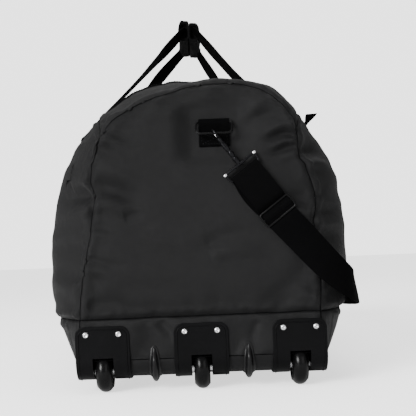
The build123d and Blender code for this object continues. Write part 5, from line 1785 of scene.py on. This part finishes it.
def make_rear_and_floor():
    """The parts whose CAD shape stays: the pull-out handle and its cup, the feet, the base sheet and the floor."""
    for node, finish in (
        ("rear_feet", "rubber"), ("base_board", "stiffener"), ("floor_panel", "lining"),
        ("tow_tubes_outer", "tube_metal"), ("tow_tubes_inner", "tube_metal"), ("tube_brackets", "housing"),
        ("tow_cup", "housing"), ("tow_grip", "skid"), ("tow_button", "gunmetal"),
    ):
        carry_over(node, finish)


# ------------------------------------------------------------------ studio
FLOOR_SIZE = 60
# name, kind, place, aim, size of its face and power; the key light's last two come from the settings
LAMPS = (
    ("Key light", "SUN", (-2.3, -3.0, 1.7), (0, 0, 0.2), None, None),
    ("Side light", "AREA", (-1.3, -1.5, 0.8), (-0.15, -0.3, 0.25), 0.7, 26.0),
    ("Fill light", "AREA", (1.6, -3.2, 1.2), (0, 0, 0.2), 2.2, 30.0),
    ("Top light", "AREA", (0.0, -0.2, 3.2), (0, 0, 0.2), 2.6, 60.0),
)
CAMERA_PLACE = (CENTRE_X + 0.0013, -1.645, 0.1997)
CAMERA_ROLL = math.radians(-2.34)
CAMERA_LENS = 69.2
CAMERA_SHIFT = (0.0224, 0.1185)


def make_floor(look):
    """A wide pale floor that the camera sees a little brighter than it is."""
    deselect()
    bpy.ops.mesh.primitive_plane_add(size=1, location=(CENTRE_X, 1.5, 0))
    floor = bpy.context.object
    floor.name = floor.data.name = "studio_floor"
    floor.scale = (FLOOR_SIZE, FLOOR_SIZE, 1)
    settle(floor)
    material, tree, shader, _, cloud = new_material("Pale studio floor", 0.6)
    base = mix_colour(tree, cloud.outputs["Slow"], (0.93, 0.93, 0.93), (0.95, 0.95, 0.95))
    tree.links.new(base, shader.inputs["Base Color"])
    tree.links.new(ramp_between(tree, cloud.outputs["Fine"], 0.60, 0.66), shader.inputs["Roughness"])
    seen = tree.nodes.new("ShaderNodeLightPath")
    glow = ramp_between(tree, seen.outputs["Is Camera Ray"], 0.0, look.floor_glow, 0.0, 1.0)
    set_inputs(shader, Specular_IOR_Level=0.15, Emission_Color=(1, 1, 1, 1))
    tree.links.new(glow, shader.inputs["Emission Strength"])
    floor.data.materials.append(material)


def make_sky(look):
    """A white sky, brighter to the camera than as a light."""
    world = bpy.context.scene.world or bpy.data.worlds.new("Studio")
    bpy.context.scene.world = world
    world.use_nodes = True
    tree = world.node_tree
    sky = tree.nodes["Background"]
    sky.inputs[0].default_value = (1, 1, 1, 1)
    seen = tree.nodes.new("ShaderNodeLightPath")
    strength = ramp_between(tree, seen.outputs["Is Camera Ray"], look.sky_light, look.sky_seen, 0.0, 1.0)
    tree.links.new(strength, sky.inputs[1])


def make_studio():
    """A pale floor and sky, four lights, and the camera at the photograph's angle."""
    look = bpy.context.scene.duffel_studio
    make_floor(look)
    make_sky(look)
    for name, kind, place, aim, size, power in LAMPS:
        light = bpy.data.lights.new(name, kind)
        if kind == "SUN":
            light.angle, light.energy = look.key_angle, look.key_power
        else:
            light.size, light.energy = size, power
        lamp = new_object(name, light)
        lamp.location = Vector(place)
        lamp.rotation_euler = (Vector(aim) - Vector(place)).to_track_quat("-Z", "Y").to_euler()

    camera = bpy.data.cameras.new("Camera")
    camera.sensor_width = 36
    camera.lens = CAMERA_LENS
    camera.shift_x, camera.shift_y = CAMERA_SHIFT
    camera.clip_end = FLOOR_SIZE
    eye = new_object("Camera", camera)
    upright = Matrix.Rotation(math.radians(90), 4, "X")
    eye.matrix_world = Matrix.Translation(CAMERA_PLACE) @ upright @ Matrix.Rotation(CAMERA_ROLL, 4, "Z")
    bpy.context.scene.camera = eye


# ------------------------------------------------------------------ the add-on: what a user would change
def length_property(name, description, default, low, high):
    """A length that a user may change."""
    return bpy.props.FloatProperty(
        name=name, description=description, default=default, min=low, max=high, unit="LENGTH", precision=4,
    )


def colour_property(name, description, default):
    """A colour that a user may change."""
    return bpy.props.FloatVectorProperty(
        name=name, description=description, default=default, size=3, min=0, max=1, subtype="COLOR",
    )


def strength_property(name, description, default):
    """A strength of light that a user may change."""
    return bpy.props.FloatProperty(name=name, description=description, default=default, min=0)


class DuffelSizes(bpy.types.PropertyGroup):
    """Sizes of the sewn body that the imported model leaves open"""

    fabric: length_property("Fabric", "Thickness of the body fabric", FABRIC, 0.0005, 0.0050)
    lean: length_property("Lean", "How far the soft top leans to the right of its base", LEAN, -0.02, 0.02)


class DuffelColours(bpy.types.PropertyGroup):
    """Base colours of the bag's finishes"""

    body: colour_property("Body", "Woven polyester of the body", (0.0048, 0.0048, 0.0050))
    boot: colour_property("Boot", "Coated fabric of the band round the base", (0.0042, 0.0042, 0.0044))
    webbing: colour_property("Webbing", "Woven straps and handles", (0.0012, 0.0012, 0.0013))
    housing: colour_property("Housings", "Moulded wheel housings", (0.0020, 0.0020, 0.0022))
    tread: colour_property("Tread", "Glossy treads of the wheels", (0.0015, 0.0015, 0.0016))
    rivet: colour_property("Rivets", "Polished heads of the rivets", (0.60, 0.60, 0.61))
    hardware: colour_property("Hardware", "Coated metal of rings, hooks and slides", (0.0012, 0.0012, 0.0013))


class DuffelStudio(bpy.types.PropertyGroup):
    """Light and surroundings"""

    sky_light: strength_property("Sky light", "Strength of the sky as a light", 0.45)
    sky_seen: strength_property("Sky seen", "Brightness of the sky to the camera", 2.8)
    floor_glow: strength_property("Floor glow", "Added brightness of the floor to the camera", 1.3)
    key_power: strength_property("Key light", "Strength of the key light", 5.0)
    key_angle: bpy.props.FloatProperty(
        name="Key softness", description="Angle that the key light spans", default=math.radians(26),
        min=0, max=math.pi, subtype="ANGLE",
    )


class DUFFEL_OT_body(bpy.types.Operator):
    """Drape the sewn shell and cut it into its fabric panels and seam lines"""

    bl_idname = "duffel.body"
    bl_label = "Body panels"

    def execute(self, context):
        make_body()
        return {"FINISHED"}


class DUFFEL_OT_lid(bpy.types.Operator):
    """Lay the opening lid and its edge over the top of the body"""

    bl_idname = "duffel.lid"
    bl_label = "Lid"

    def execute(self, context):
        make_lid()
        return {"FINISHED"}


class DUFFEL_OT_zip(bpy.types.Operator):
    """Sew the zip's tape, coils and sliders round the lid"""

    bl_idname = "duffel.zip"
    bl_label = "Zip"

    def execute(self, context):
        make_zip()
        return {"FINISHED"}


class DUFFEL_OT_side_webbing(bpy.types.Operator):
    """Sew the webbing anchors of the carry handles on the sides"""

    bl_idname = "duffel.side_webbing"
    bl_label = "Side webbing"

    def execute(self, context):
        make_side_webbing()
        return {"FINISHED"}


class DUFFEL_OT_carry(bpy.types.Operator):
    """Model both carry handles with their padded grips"""

    bl_idname = "duffel.carry"
    bl_label = "Carry handles"

    def execute(self, context):
        make_carry()
        return {"FINISHED"}


class DUFFEL_OT_strap_rings(bpy.types.Operator):
    """Sew the strap's tabs on both ends and hang their wire rings"""

    bl_idname = "duffel.strap_rings"
    bl_label = "Tabs and rings"

    def execute(self, context):
        make_tabs()
        make_rings()
        return {"FINISHED"}


class DUFFEL_OT_hooks(bpy.types.Operator):
    """Model the snap hooks with their swivel frames"""

    bl_idname = "duffel.hooks"
    bl_label = "Hooks and frames"

    def execute(self, context):
        make_hooks()
        make_frames()
        return {"FINISHED"}


class DUFFEL_OT_strap(bpy.types.Operator):
    """Model the shoulder strap and its adjuster"""

    bl_idname = "duffel.strap"
    bl_label = "Shoulder strap"

    def execute(self, context):
        make_adjuster()
        make_strap()
        return {"FINISHED"}


class DUFFEL_OT_pull_tab(bpy.types.Operator):
    """Sew the folded fabric tab beside the lid"""

    bl_idname = "duffel.pull_tab"
    bl_label = "Pull tab"

    def execute(self, context):
        make_pull_tab()
        return {"FINISHED"}


class DUFFEL_OT_wheels(bpy.types.Operator):
    """Turn the three wheels with their treads and cores"""

    bl_idname = "duffel.wheels"
    bl_label = "Wheels"

    def execute(self, context):
        make_wheels()
        return {"FINISHED"}


class DUFFEL_OT_housings(bpy.types.Operator):
    """Trim the wheel housings and set their rivets"""

    bl_idname = "duffel.housings"
    bl_label = "Wheel housings"

    def execute(self, context):
        make_housing_trim()
        return {"FINISHED"}


class DUFFEL_OT_skids(bpy.types.Operator):
    """Model the two ribbed skids between the wheels"""

    bl_idname = "duffel.skids"
    bl_label = "Skids"

    def execute(self, context):
        make_skids()
        return {"FINISHED"}


class DUFFEL_OT_rear(bpy.types.Operator):
    """Finish the tow handle, its cup, the feet and the floor inside"""

    bl_idname = "duffel.rear"
    bl_label = "Tow handle and base"

    def execute(self, context):
        make_rear_and_floor()
        return {"FINISHED"}


class DUFFEL_OT_studio(bpy.types.Operator):
    """Set up the pale floor, the sky, the lights and the camera"""

    bl_idname = "duffel.studio"
    bl_label = "Studio"

    def execute(self, context):
        make_studio()
        return {"FINISHED"}


SETTINGS = (("duffel_sizes", DuffelSizes), ("duffel_colours", DuffelColours), ("duffel_studio", DuffelStudio))
STEPS = (
    DUFFEL_OT_body, DUFFEL_OT_lid, DUFFEL_OT_zip, DUFFEL_OT_side_webbing, DUFFEL_OT_carry, DUFFEL_OT_strap_rings,
    DUFFEL_OT_hooks, DUFFEL_OT_strap, DUFFEL_OT_pull_tab, DUFFEL_OT_wheels, DUFFEL_OT_housings, DUFFEL_OT_skids,
    DUFFEL_OT_rear, DUFFEL_OT_studio,
)


class DUFFEL_PT_panel(bpy.types.Panel):
    """The bag's sizes and colours, and the steps that build it"""

    bl_idname = "DUFFEL_PT_panel"
    bl_label = "Wheeled duffel bag"
    bl_space_type = "VIEW_3D"
    bl_region_type = "UI"
    bl_category = "Duffel"

    def draw(self, context):
        for attribute, group_class in SETTINGS:
            column = self.layout.column()
            for name in group_class.__annotations__:
                column.prop(getattr(context.scene, attribute), name)
        column = self.layout.column()
        for step in STEPS:
            column.operator(step.bl_idname)


def register():
    """Make the settings, the steps and the panel known to Blender."""
    for _, group_class in SETTINGS:
        bpy.utils.register_class(group_class)
    for attribute, group_class in SETTINGS:
        setattr(bpy.types.Scene, attribute, bpy.props.PointerProperty(type=group_class))
    for step in STEPS + (DUFFEL_PT_panel,):
        bpy.utils.register_class(step)


def unregister():
    """Take them out again."""
    for step in reversed(STEPS + (DUFFEL_PT_panel,)):
        bpy.utils.unregister_class(step)
    for attribute, group_class in SETTINGS:
        delattr(bpy.types.Scene, attribute)
        bpy.utils.unregister_class(group_class)


def main():
    """Build the whole scene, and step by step."""
    register()
    for step in STEPS:
        section, name = step.bl_idname.split(".")
        getattr(getattr(bpy.ops, section), name)()


if __name__ == "__main__":
    main()
